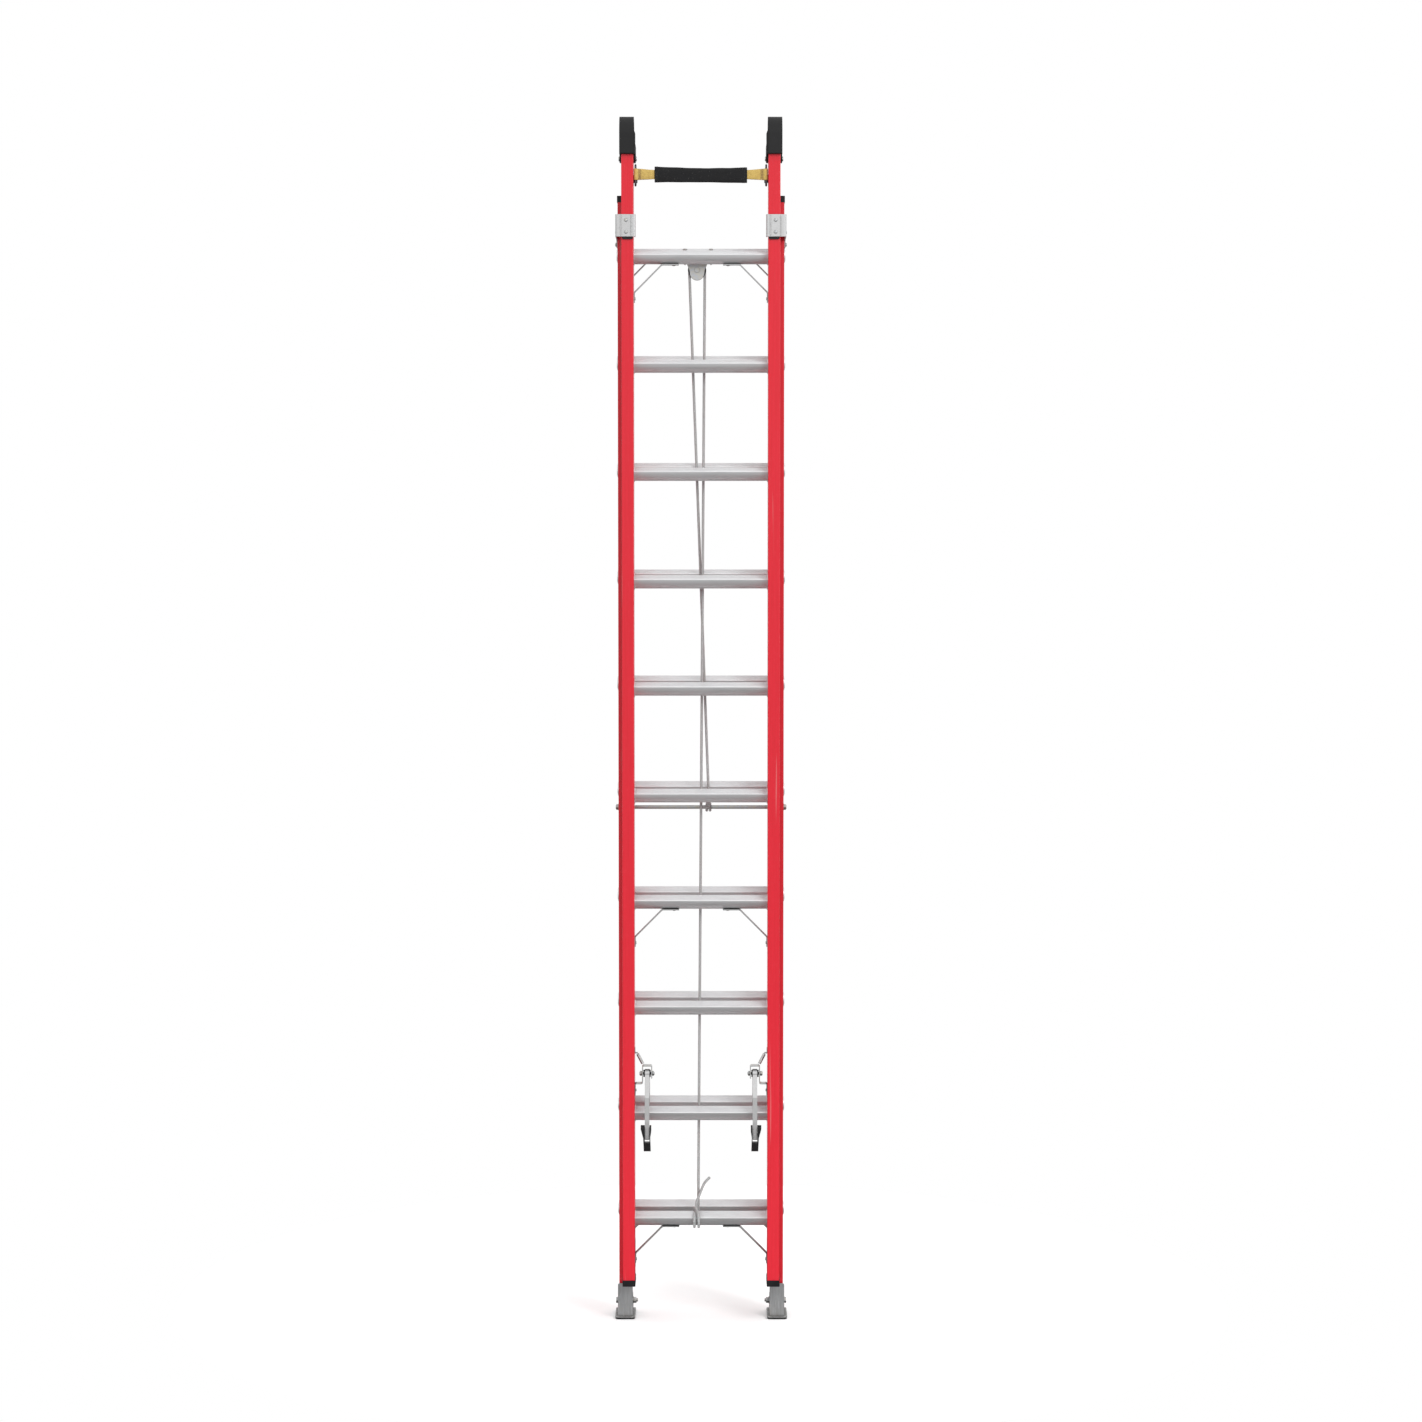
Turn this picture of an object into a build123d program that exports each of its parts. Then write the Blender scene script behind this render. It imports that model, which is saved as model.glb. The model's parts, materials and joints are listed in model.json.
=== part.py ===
from build123d import *
from math import cos, radians, sin, tan
import os

# Extension ladder of two sections, closed. Millimetres, +Z up, -Y is the climber's side.
# The origin is on the ground, midway between the rails and midway through the depth.
# The fly section (front) slides up along the base section (rear).

# Rungs
RUNG_PITCH = 304.8  # one foot
RUNG_COUNT = 10
BASE_RUNG_Z = 315.0  # centre of the lowest base rung
FLY_RUNG_Z = 300.5  # centre of the lowest fly rung when closed
TREAD_LEAN = 14.5  # the tread is level when the ladder leans at 75.5 degrees
TREAD_WIDTH = 45.4
TREAD_RISE = 13.3  # middle of the tread above the rung's centre
BELLY_DEPTH = 33.0
RUNG_WALL = 2.0
RIDGE_COUNT = 9
RIDGE_WIDTH = 1.7
RIDGE_HEIGHT = 0.8
SPIGOT_RADIUS = 15.4
SPIGOT_DROP = 15.6  # spigot's centre below the tread, square to it
SPIGOT_CLEARANCE = 0.05
COLLAR_GROWTH = 3.0
COLLAR_THICKNESS = 2.0
WASHER_RADIUS = 20.5
WASHER_THICKNESS = 2.5

# Rails: channels, the fly's with the web inside and the base's with the web outside
BASE_Y = 45.0
FLY_Y = -45.0
RAIL_DEPTH = 85.0
WEB = 4.0
FLANGE = 4.5
CORNER = 1.6
BASE_HALF_WIDTH = 236.5
BASE_LIP = 202.0  # inner edges of the base flanges
FLY_HALF_CLEAR = 189.5  # inner face of the fly web
FLY_HALF_WIDTH = 223.5
BASE_RAIL_BOTTOM = 30.0
BASE_RAIL_TOP = 3218.0
FLY_RAIL_BOTTOM = 116.0
FLY_RAIL_TOP = 3349.0
BASE_HALF_CLEAR = BASE_HALF_WIDTH - WEB
RAIL_END_CHAMFER = 10.0
CAP_WALL = 1.5
CAP_FLOOR = 3.0
CAP_HEIGHT = 18.0

# Braces between rail and rung
BRACE_WIDTH = 22.0
BRACE_THICKNESS = 3.0
BRACE_REACH = 127.0  # along the rung, from the web
BRACE_BEND = 79.0
BRACE_DROP = 106.0  # along the web, from the rung's underside
BRACE_WEB_BEND = 78.0
BRACE_RIVET = 113.0
BRACE_WEB_RIVET = 94.0
RIVET_RADIUS = 4.5
RIVET_HEIGHT = 2.2
FLY_BRACED = (0, 3, 9)
BASE_BRACED = (0, 9)

# Shoes
SHOE_PIVOT_Z = 42.0
SHOE_BOLT_RADIUS = 4.75
SHOE_CLEARANCE = 0.05
SHOE_SHEET = 3.0
PAD_THICKNESS = 4.0
SHOE_FRONT_Y = -6.0
SHOE_SPUR_TOP = 103.0
SHOE_INNER_X = 198.0
SHOE_OUTER_X = 240.4
TREAD_INNER_X = 190.5
TREAD_OUTER_X = 248.5
TREAD_FRONT_Y = -14.0
TREAD_REAR_Y = 100.0

# Guide brackets at the top of the base and guide blocks at the foot of the fly
GUIDE_SHEET = 3.5
GUIDE_FRONT_Y = -93.5
GUIDE_CURL_X = 185.0
GUIDE_CURL_Y = -77.0
GUIDE_REAR_Y = 62.0
GUIDE_Z = (3098.0, 3160.0)
GUIDE_LEG_BOTTOM = 3078.0
GUIDE_FACE_RIVETS = (3111.0, 3144.0)
GUIDE_SIDE_RIVETS = ((26.0, 3086.0), (48.0, 3086.0), (26.0, 3120.0))
GUIDE_RIBS = (195.5, 224.5)
GUIDE_PAD_X = (190.5, 221.0)
BLOCK_Z = (150.0, 232.0)

# Tie rod
TIE_ROD_RUNG = 4
TIE_ROD_DROP = 54.5
TIE_ROD_RADIUS = 5.5

# Pulley and rope
ROPE_RADIUS = 4.0
SHEAVE_X = -11.0
SHEAVE_Y = 8.0
SHEAVE_Z = 3012.0
SHEAVE_RADIUS = 26.0
SHEAVE_PITCH_RADIUS = 22.0
SHEAVE_WIDTH = 12.0
GROOVE_CLEARANCE = 0.3
AXLE_RADIUS = 4.0
AXLE_HEAD = (7.0, 3.0)  # radius and height
RUNNING = 0.05
CHEEK_OUTLINE = ((34.0, 46.0), (28.6, 16.3), (21.5, 0.0), (20.5, -8.0))  # right half
CHEEK_SHEET = 3.0
CHEEK_GAP = 0.6
BRIDGE_DROP = 12.0
BRIDGE_REAR_Y = 36.0
SADDLE_X = (-54.0, 37.0)
SADDLE_WALL = 2.0
SADDLE_HEIGHT = 18.0
SCREW_X = (-45.6, 28.5)
SCREW_HEAD = (5.5, 4.5)  # radius and height above the middle of the tread
SCREW_NUT = (5.0, 3.0)
SCREW_STUB = (2.5, 7.0)

# Rung locks
LOCK_RUNG = 1
LOCK_PIVOT_Y = -62.0
LOCK_PIVOT_Z = 725.0
LOCK_X = (147.4, 160.4)
LOCK_HUB_RADIUS = 12.0
LOCK_BOLT_RADIUS = 4.0
TONGUE_PIN_Y = -84.0
TONGUE_PIN_Z = 552.0
TONGUE_PIN_RADIUS = 2.0
TONGUE_GAP = 0.5

# Cable hooks
HOOK_X = (188.5, 228.5)
HOOK_CHEEK_X = 183.5  # inner face of the cheek beside the web
HOOK_CHEEK_Y = (-68.0, -22.0)
HOOK_CHEEK_BOTTOM = 3308.0
HOOK_RIB_TOP = 3398.0
HOOK_BOLT_Z = 3319.0
HOOK_THICKNESS = 12.0
HOOK_OUTER_RADIUS = 52.0
HOOK_FRONT_Y = -100.0
HOOK_CENTRE_Z = 3384.0
HOOK_TIP_Z = 3378.0
SADDLE_Z = (3328.0, 3356.0)
HOOK_CORE = (5.0, 30.0)

# Pole strap
STRAP_Z = 3273.0
STRAP_Y = -74.0
WEBBING = (2.4, 33.0)
LINK_X = 183.5
LINK_WIRE = 2.75
LINK_Z = (3241.0, 3303.0)
LINK_REAR_Y = -46.0
SLEEVE = (13.0, 46.0)
SLEEVE_HALF_LENGTH = 130.5


def save(name, *solids):
    """Write one node, as one solid or as a group of separate solids."""
    shapes = [solid for item in solids for solid in item.solids()]
    part = shapes[0] if len(shapes) == 1 else Compound(children=shapes)
    export_step(part, f"parts/{name}.step")


def other_side(part):
    """The same part on the other rail."""
    return mirror(part, about=Plane.YZ)


def save_pair(name, part):
    """A part drawn on the +X side, and its mirror image, as two nodes."""
    save(f"{name}_right", part)
    save(f"{name}_left", other_side(part))


def save_both(name, *parts, single=()):
    """A group drawn on the +X side, its mirror image and any single parts, as one node."""
    save(name, *parts, *[other_side(part) for part in parts], *single)


def block(x, y, z):
    """A box between two values on each axis."""
    size = (x[1] - x[0], y[1] - y[0], z[1] - z[0])
    centre = ((x[0] + x[1]) / 2, (y[0] + y[1]) / 2, (z[0] + z[1]) / 2)
    return Pos(*centre) * Box(*size)


def rod_x(x, y, z, radius):
    """A cylinder along X, between two x values."""
    centre = Pos((x[0] + x[1]) / 2, y, z)
    return centre * Rot(0, 90, 0) * Cylinder(radius, x[1] - x[0])


def rod_y(x, y, z, radius):
    """A cylinder along Y, between two y values."""
    centre = Pos(x, (y[0] + y[1]) / 2, z)
    return centre * Rot(90, 0, 0) * Cylinder(radius, y[1] - y[0])


def hexagon_x(x, y, z, radius):
    """A hexagonal head or nut along X."""
    face = Plane(origin=(x[0], y, z), x_dir=(0, 1, 0), z_dir=(1, 0, 0)) * RegularPolygon(radius, 6)
    return extrude(face, x[1] - x[0])


def dome_x(x, y, z, radius, height, direction):
    """A low round head standing on a face square to X."""
    base = Plane(origin=(x, y, z), z_dir=(direction, 0, 0))
    head = base * Pos(0, 0, height / 2) * Cylinder(radius, height)
    return fillet(head.edges().group_by(Axis.X)[-1 if direction > 0 else 0], height * 0.6)


def dome_y(x, y, z, radius, height):
    """A low round head standing on a face that looks forward."""
    head = Pos(x, y - height / 2, z) * Rot(90, 0, 0) * Cylinder(radius, height)
    return fillet(head.edges().group_by(Axis.Y)[0], height * 0.6)


def dome_down(x, y, z, radius, height):
    """A low round head under a level face."""
    head = Pos(x, y, z - height / 2) * Cylinder(radius, height)
    return fillet(head.edges().group_by(Axis.Z)[0], height * 0.6)


def yz_face(points):
    """A face in the YZ plane from a list of corners."""
    return Plane.YZ * make_face(Polyline(*points, close=True))


# Rungs ---------------------------------------------------------------------------------


def rung_centre_z(section_z, index):
    return section_z + index * RUNG_PITCH


def tread_plane(y, z):
    """Sketch plane square to the rung, with its origin on the middle of the tread."""
    lean = radians(TREAD_LEAN)
    return Plane(
        origin=(0, y, z + TREAD_RISE),
        x_dir=(0, cos(lean), sin(lean)),
        z_dir=(1, 0, 0),
    )


def d_face(width, depth):
    """A D lying on its back: flat on top and half an ellipse below."""
    lower = Pos(0, -depth) * Rectangle(2 * width, 2 * depth)
    face = Ellipse(width / 2, depth) & lower
    return fillet(face.vertices().group_by(Axis.Y)[-1], RUNG_WALL)


def rung(y, z, half_clear):
    """A hollow D-shaped rung with a ridged tread, a collar at each web and a spigot through it."""
    plane = tread_plane(y, z)
    outline = d_face(TREAD_WIDTH, BELLY_DEPTH)
    step = TREAD_WIDTH / (RIDGE_COUNT + 1)
    for number in range(RIDGE_COUNT):
        place = (number - (RIDGE_COUNT - 1) / 2) * step
        outline += Pos(place, 0) * Rectangle(RIDGE_WIDTH, 2 * RIDGE_HEIGHT)
    hollow = Pos(0, -RUNG_WALL) * d_face(TREAD_WIDTH - 2 * RUNG_WALL, BELLY_DEPTH - 2 * RUNG_WALL)
    body = extrude(plane * outline, half_clear, both=True)
    body -= extrude(plane * hollow, half_clear - COLLAR_THICKNESS, both=True)
    collar_shape = Pos(0, COLLAR_GROWTH / 2) * d_face(
        TREAD_WIDTH + 2 * COLLAR_GROWTH, BELLY_DEPTH + 1.5 * COLLAR_GROWTH
    )
    collar = extrude(plane * collar_shape, COLLAR_THICKNESS)
    spigot_shape = plane * Pos(0, -SPIGOT_DROP) * Circle(SPIGOT_RADIUS)
    spigot = extrude(spigot_shape, WEB + WASHER_THICKNESS + 1.0)
    bore_shape = plane * Pos(0, -SPIGOT_DROP) * Circle(SPIGOT_RADIUS - 2.5)
    bore = extrude(bore_shape, half_clear + 20.0, both=True)
    for end in (collar, other_side(collar)):
        side = 1 if end is collar else -1
        body += Pos(side * (half_clear - COLLAR_THICKNESS), 0, 0) * end
    body += Pos(half_clear, 0, 0) * spigot
    body += Pos(-half_clear, 0, 0) * other_side(spigot)
    return body - bore


def spigot_centre(y, z):
    """Where a rung's spigot goes through the web."""
    lean = radians(TREAD_LEAN)
    return (y + SPIGOT_DROP * sin(lean), z + TREAD_RISE - SPIGOT_DROP * cos(lean))


def washer(x, y, z):
    """The swaged ring on the far face of the web, on one rung end."""
    centre_y, centre_z = spigot_centre(y, z)
    ring = rod_x((x, x + WASHER_THICKNESS), centre_y, centre_z, WASHER_RADIUS)
    ring = fillet(ring.edges().group_by(Axis.X)[-1], WASHER_THICKNESS * 0.6)
    return ring - rod_x((x - 1, x + 9), centre_y, centre_z, SPIGOT_RADIUS + SPIGOT_CLEARANCE)


def make_rungs():
    for index in range(RUNG_COUNT):
        number = f"{index + 1:02d}"
        base_z = rung_centre_z(BASE_RUNG_Z, index)
        fly_z = rung_centre_z(FLY_RUNG_Z, index)
        save(f"base_rung_{number}", rung(BASE_Y, base_z, BASE_HALF_CLEAR))
        save(f"fly_rung_{number}", rung(FLY_Y, fly_z, FLY_HALF_CLEAR))
    heights = range(RUNG_COUNT)
    base = [washer(BASE_HALF_WIDTH, BASE_Y, rung_centre_z(BASE_RUNG_Z, i)) for i in heights]
    fly = [washer(FLY_HALF_CLEAR + WEB, FLY_Y, rung_centre_z(FLY_RUNG_Z, i)) for i in heights]
    save_both("base_rung_washers", *base)
    save_both("fly_rung_washers", *fly)


# Rails ---------------------------------------------------------------------------------


def channel_face(web_x, lip_x, y):
    """Section of a rail: a channel whose web is at web_x and whose flanges end at lip_x."""
    toward = 1 if lip_x > web_x else -1
    inner = web_x + toward * WEB
    front = y - RAIL_DEPTH / 2
    rear = y + RAIL_DEPTH / 2
    points = [
        (web_x, front),
        (lip_x, front),
        (lip_x, front + FLANGE),
        (inner, front + FLANGE),
        (inner, rear - FLANGE),
        (lip_x, rear - FLANGE),
        (lip_x, rear),
        (web_x, rear),
    ]
    face = make_face(Polyline(*points, close=True))
    return fillet(face.vertices(), CORNER)


def rung_holes(y, section_z):
    cutters = []
    for index in range(RUNG_COUNT):
        centre_y, centre_z = spigot_centre(y, rung_centre_z(section_z, index))
        cutters.append(rod_x((180, 250), centre_y, centre_z, SPIGOT_RADIUS + SPIGOT_CLEARANCE))
    return cutters


def base_rail():
    face = channel_face(BASE_HALF_WIDTH, BASE_LIP, BASE_Y)
    rail = extrude(Pos(0, 0, BASE_RAIL_BOTTOM) * face, BASE_RAIL_TOP - BASE_RAIL_BOTTOM)
    rail -= rung_holes(BASE_Y, BASE_RUNG_Z)
    rail -= rod_x((180, 250), BASE_Y, SHOE_PIVOT_Z, SHOE_BOLT_RADIUS + SHOE_CLEARANCE)
    rail -= rod_x((180, 250), BASE_Y, tie_rod_z(), TIE_ROD_RADIUS + SHOE_CLEARANCE)
    size = RAIL_END_CHAMFER
    for side in (-1, 1):
        edge = BASE_Y + side * RAIL_DEPTH / 2
        corner = [(edge, BASE_RAIL_BOTTOM), (edge - side * size, BASE_RAIL_BOTTOM)]
        corner.append((edge, BASE_RAIL_BOTTOM + size))
        rail -= Pos(180, 0, 0) * extrude(yz_face(corner), 70)
    return rail


def fly_rail():
    face = channel_face(FLY_HALF_CLEAR, FLY_HALF_WIDTH, FLY_Y)
    rail = extrude(Pos(0, 0, FLY_RAIL_BOTTOM) * face, FLY_RAIL_TOP - FLY_RAIL_BOTTOM)
    return rail - rung_holes(FLY_Y, FLY_RUNG_Z)


def end_cap(web_x, lip_x, y, end_z, up):
    """A moulded plug over one rail end; up is 1 at the top of a rail and -1 at its foot."""
    low_x = min(web_x, lip_x) - CAP_WALL
    high_x = max(web_x, lip_x) + CAP_WALL
    deep = RAIL_DEPTH / 2 + CAP_WALL
    z = sorted((end_z + up * CAP_FLOOR, end_z - up * (CAP_HEIGHT - CAP_FLOOR)))
    cap = block((low_x, high_x), (y - deep, y + deep), z)
    cap = fillet(cap.edges().filter_by(Axis.Z), 3.0)
    outer = cap.faces().sort_by(Axis.Z)[-1 if up > 0 else 0]
    cap = fillet(outer.edges(), 1.2)
    z_inside = sorted((end_z, end_z - up * CAP_HEIGHT))
    section = Pos(0, 0, z_inside[0]) * channel_face(web_x, lip_x, y)
    return cap - extrude(section, CAP_HEIGHT)


def make_rails():
    save_pair("base_rail", base_rail())
    save_pair("fly_rail", fly_rail())
    cap = end_cap(BASE_HALF_WIDTH, BASE_LIP, BASE_Y, BASE_RAIL_TOP, 1)
    save_both("base_end_caps", cap)
    cap = end_cap(FLY_HALF_CLEAR, FLY_HALF_WIDTH, FLY_Y, FLY_RAIL_BOTTOM, -1)
    save_both("fly_end_caps", cap)


# Braces --------------------------------------------------------------------------------


def underside(z):
    """The lowest height of a rung whose centre is at z."""
    lean = radians(TREAD_LEAN)
    half = TREAD_WIDTH / 2 * sin(lean)
    deep = BELLY_DEPTH * cos(lean)
    return z + TREAD_RISE - (half**2 + deep**2) ** 0.5


def brace(web_x, y, z):
    """A strip from the rung's underside down to the web."""
    top = underside(z) - BRACE_THICKNESS / 2
    wall = web_x - BRACE_THICKNESS / 2
    points = [
        (web_x - BRACE_REACH, top),
        (web_x - BRACE_BEND, top),
        (wall, top - BRACE_WEB_BEND),
        (wall, top - BRACE_DROP),
    ]
    path = FilletPolyline(*points, radius=9.0)
    strip = extrude(Plane.XZ * trace(path, BRACE_THICKNESS), BRACE_WIDTH / 2, both=True)
    return Pos(0, y, 0) * strip


def brace_rivets(web_x, y, z):
    top = underside(z) - BRACE_THICKNESS
    foot = dome_down(web_x - BRACE_RIVET, y, top, RIVET_RADIUS, RIVET_HEIGHT)
    wall = web_x - BRACE_THICKNESS
    side = dome_x(wall, y, top - BRACE_WEB_RIVET, RIVET_RADIUS, RIVET_HEIGHT, -1)
    return [foot, side]


def make_braces():
    groups = (
        ("base", BASE_BRACED, BASE_HALF_CLEAR, BASE_Y, BASE_RUNG_Z),
        ("fly", FLY_BRACED, FLY_HALF_CLEAR, FLY_Y, FLY_RUNG_Z),
    )
    for name, indices, web_x, y, section_z in groups:
        heights = [rung_centre_z(section_z, index) for index in indices]
        rivets = [rivet for z in heights for rivet in brace_rivets(web_x, y, z)]
        save_both(f"{name}_braces", *[brace(web_x, y, z) for z in heights])
        others = base_fasteners() if name == "base" else fly_fasteners()
        single = hanger_screws() if name == "base" else []
        save_both(f"{name}_fasteners", *rivets, *others, single=single)


def base_fasteners():
    """The tie rod's washers and nuts, and the guide brackets' rivets."""
    return tie_rod_nuts() + guide_rivets()


def hanger_screws():
    """The pulley hanger's screws: heads on the top rung's tread, nuts and stubs below it."""
    z = rung_centre_z(BASE_RUNG_Z, RUNG_COUNT - 1)
    plane = tread_plane(BASE_Y, z)
    solid_rung = rung(BASE_Y, z, BASE_HALF_CLEAR) + pulley_hanger()
    bottom = -BELLY_DEPTH - RUNNING - SADDLE_WALL
    head_radius, head_height = SCREW_HEAD
    nut_radius, nut_height = SCREW_NUT
    stub_radius, stub_height = SCREW_STUB
    screws = []
    for x in SCREW_X:
        spot = Pos(x, 0, 0) * Plane(origin=plane.origin, x_dir=(1, 0, 0), z_dir=plane.y_dir)
        head = spot * Pos(0, 0, head_height / 2) * Cylinder(head_radius, head_height)
        head = fillet(head.edges().group_by(Axis.Z)[-1], head_height / 3)
        nut = spot * Pos(0, 0, bottom - nut_height / 2) * Cylinder(nut_radius, nut_height + 1)
        stub = spot * Pos(0, 0, bottom - stub_height / 2) * Cylinder(stub_radius, stub_height)
        screws += [head - solid_rung, nut + stub - solid_rung]
    return screws


def fly_fasteners():
    """The hooks' bolts and the rung locks' bolts, nuts and rivets."""
    return hook_bolts() + lock_bolt()


# Tie rod -------------------------------------------------------------------------------


def tie_rod_z():
    return rung_centre_z(BASE_RUNG_Z, TIE_ROD_RUNG) - TIE_ROD_DROP


def tie_rod():
    half = BASE_HALF_WIDTH + 9.0
    return rod_x((-half, half), BASE_Y, tie_rod_z(), TIE_ROD_RADIUS)


def tie_rod_nuts():
    z = tie_rod_z()
    outside = (BASE_HALF_WIDTH, BASE_HALF_WIDTH + 1.6)
    ring = rod_x(outside, BASE_Y, z, 10.0)
    nut = hexagon_x((outside[1], outside[1] + 6.0), BASE_Y, z, 9.0)
    return [part - tie_rod() for part in (ring, nut)]


# Shoes ---------------------------------------------------------------------------------


def shoe_side(x):
    """One cheek of the swivel shoe."""
    low = PAD_THICKNESS + SHOE_SHEET / 2
    points = [
        (SHOE_FRONT_Y + 1, low),
        (94.0, low),
        (94.0, 20.0),
        (60.0, 62.0),
        (30.0, 66.0),
        (10.0, SHOE_SPUR_TOP - 16),
        (SHOE_FRONT_Y + 1, SHOE_SPUR_TOP - 4),
    ]
    face = yz_face(points)
    face = fillet(face.vertices().sort_by(Axis.Y)[2:], 6.0)
    return Pos(x, 0, 0) * extrude(face, SHOE_SHEET)


def shoe():
    """A folded metal shoe: sole plate, two cheeks and the spur plate that faces the climber."""
    floor = (PAD_THICKNESS, PAD_THICKNESS + SHOE_SHEET)
    sole = block((TREAD_INNER_X, TREAD_OUTER_X), (TREAD_FRONT_Y, TREAD_REAR_Y), floor)
    sole = fillet(sole.edges().filter_by(Axis.Z), 8.0)
    front = (SHOE_FRONT_Y, SHOE_FRONT_Y + SHOE_SHEET)
    plate = block((SHOE_INNER_X, SHOE_OUTER_X), front, (PAD_THICKNESS, SHOE_SPUR_TOP))
    top = plate.edges().filter_by(Axis.Y).group_by(Axis.Z)[-1]
    plate = fillet(top, 5.0)
    body = sole + plate
    for x in (SHOE_INNER_X, SHOE_OUTER_X - SHOE_SHEET):
        body += shoe_side(x)
    hole = SHOE_BOLT_RADIUS + SHOE_CLEARANCE
    return body - rod_x((180, 260), BASE_Y, SHOE_PIVOT_Z, hole)


def shoe_pad():
    """The rubber sole, with grooves across it."""
    x = (TREAD_INNER_X + 1, TREAD_OUTER_X - 1)
    y = (TREAD_FRONT_Y + 1, TREAD_REAR_Y - 1)
    pad = block(x, y, (0, PAD_THICKNESS))
    pad = fillet(pad.edges().filter_by(Axis.Z), 8.0)
    count = 6
    step = (y[1] - y[0]) / count
    for number in range(1, count):
        place = y[0] + number * step
        pad -= block((x[0] - 1, x[1] + 1), (place - 1.5, place + 1.5), (-1, 1.6))
    return pad


def shoe_bolt():
    """The pivot bolt: head outside, washer and nut inside, and a spacer up to the web."""
    shank = rod_x((184.0, 244.0), BASE_Y, SHOE_PIVOT_Z, SHOE_BOLT_RADIUS)
    head = hexagon_x((SHOE_OUTER_X + 0.3, SHOE_OUTER_X + 6.6), BASE_Y, SHOE_PIVOT_Z, 9.0)
    bolt = shank + head
    outer = SHOE_INNER_X - 0.3
    flat = rod_x((outer - 1.6, outer), BASE_Y, SHOE_PIVOT_Z, 10.5)
    nut = hexagon_x((outer - 9.6, outer - 1.6), BASE_Y, SHOE_PIVOT_Z, 9.0)
    spacer = rod_x((SHOE_INNER_X + 3.3, BASE_HALF_CLEAR), BASE_Y, SHOE_PIVOT_Z, 8.0)
    return [bolt, flat - shank, nut - shank, spacer - shank]


def make_shoes():
    save_pair("shoe", shoe())
    save_pair("shoe_pad", shoe_pad())
    save_both("shoe_bolts", *shoe_bolt())


# Guides --------------------------------------------------------------------------------


def guide_bracket():
    """A cast hook that leaves the base rail's side and wraps round the fly rail's front."""
    outer_x = BASE_HALF_WIDTH + GUIDE_SHEET / 2
    points = [
        (outer_x, GUIDE_REAR_Y),
        (outer_x, GUIDE_FRONT_Y),
        (GUIDE_CURL_X, GUIDE_FRONT_Y),
        (GUIDE_CURL_X, GUIDE_CURL_Y),
    ]
    path = FilletPolyline(*points, radius=3.0)
    wrap = extrude(Pos(0, 0, GUIDE_Z[0]) * trace(path, GUIDE_SHEET), GUIDE_Z[1] - GUIDE_Z[0])
    leg_x = (BASE_HALF_WIDTH, BASE_HALF_WIDTH + GUIDE_SHEET)
    leg = block(leg_x, (14.0, GUIDE_REAR_Y - 2), (GUIDE_LEG_BOTTOM, GUIDE_Z[0] + 5))
    rib_y = (GUIDE_FRONT_Y - 1.75 - 1.2, GUIDE_FRONT_Y)
    rib_z = (GUIDE_Z[0] + 3, GUIDE_Z[1] - 3)
    ribs = [block((x - 1.2, x + 1.2), rib_y, rib_z) for x in GUIDE_RIBS]
    return wrap + leg + ribs


def guide_pad():
    """The slide pad between the bracket and the fly's front flange."""
    front = GUIDE_FRONT_Y + GUIDE_SHEET / 2
    rear = FLY_Y - RAIL_DEPTH / 2 - 0.4
    pad = block(GUIDE_PAD_X, (front, rear), (GUIDE_Z[0] - 7, GUIDE_Z[1] - 4))
    return fillet(pad.edges().filter_by(Axis.Y), 4.0)


def guide_rivets():
    front = GUIDE_FRONT_Y - GUIDE_SHEET / 2
    middle = sum(GUIDE_RIBS) / 2
    faces = [dome_y(middle, front, z, 4.5, 2.6) for z in GUIDE_FACE_RIVETS]
    outer = BASE_HALF_WIDTH + GUIDE_SHEET
    sides = [dome_x(outer, y, z, 5.0, 4.0, 1) for y, z in GUIDE_SIDE_RIVETS]
    return faces + sides


def guide_block():
    """The moulded block at the fly's foot that hooks behind the base rail's front flange."""
    fly_rear = FLY_Y + RAIL_DEPTH / 2
    base_front = BASE_Y - RAIL_DEPTH / 2
    neck = block((FLY_HALF_CLEAR, BASE_LIP - 0.5), (fly_rear, base_front + FLANGE + 4.5), BLOCK_Z)
    lip_y = (base_front + FLANGE + 0.5, base_front + FLANGE + 4.5)
    lip = block((FLY_HALF_CLEAR, BASE_LIP + 12.0), lip_y, BLOCK_Z)
    return neck + lip


def make_guides():
    save_both("guide_brackets", guide_bracket())
    save_both("guide_pads", guide_pad())
    save_both("fly_guide_blocks", guide_block())


# Pulley --------------------------------------------------------------------------------


def cheek_outline():
    """The hanger's cheek, with the origin on the axle: wide at the bridge, round below."""
    right = [Vector(x, z) for x, z in CHEEK_OUTLINE]
    left = [Vector(-x, z) for x, z in reversed(CHEEK_OUTLINE)]
    radius, drop = CHEEK_OUTLINE[-1]
    return make_face(Polyline(*right, *left, close=True)) + Pos(0, drop) * Circle(radius)


def cheek_places():
    """The front and back faces of the rear cheek and of the front cheek."""
    inside = SHEAVE_WIDTH / 2 + CHEEK_GAP
    outside = inside + CHEEK_SHEET
    rear = (SHEAVE_Y + inside, SHEAVE_Y + outside)
    front = (SHEAVE_Y - outside, SHEAVE_Y - inside)
    return rear, front


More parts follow.
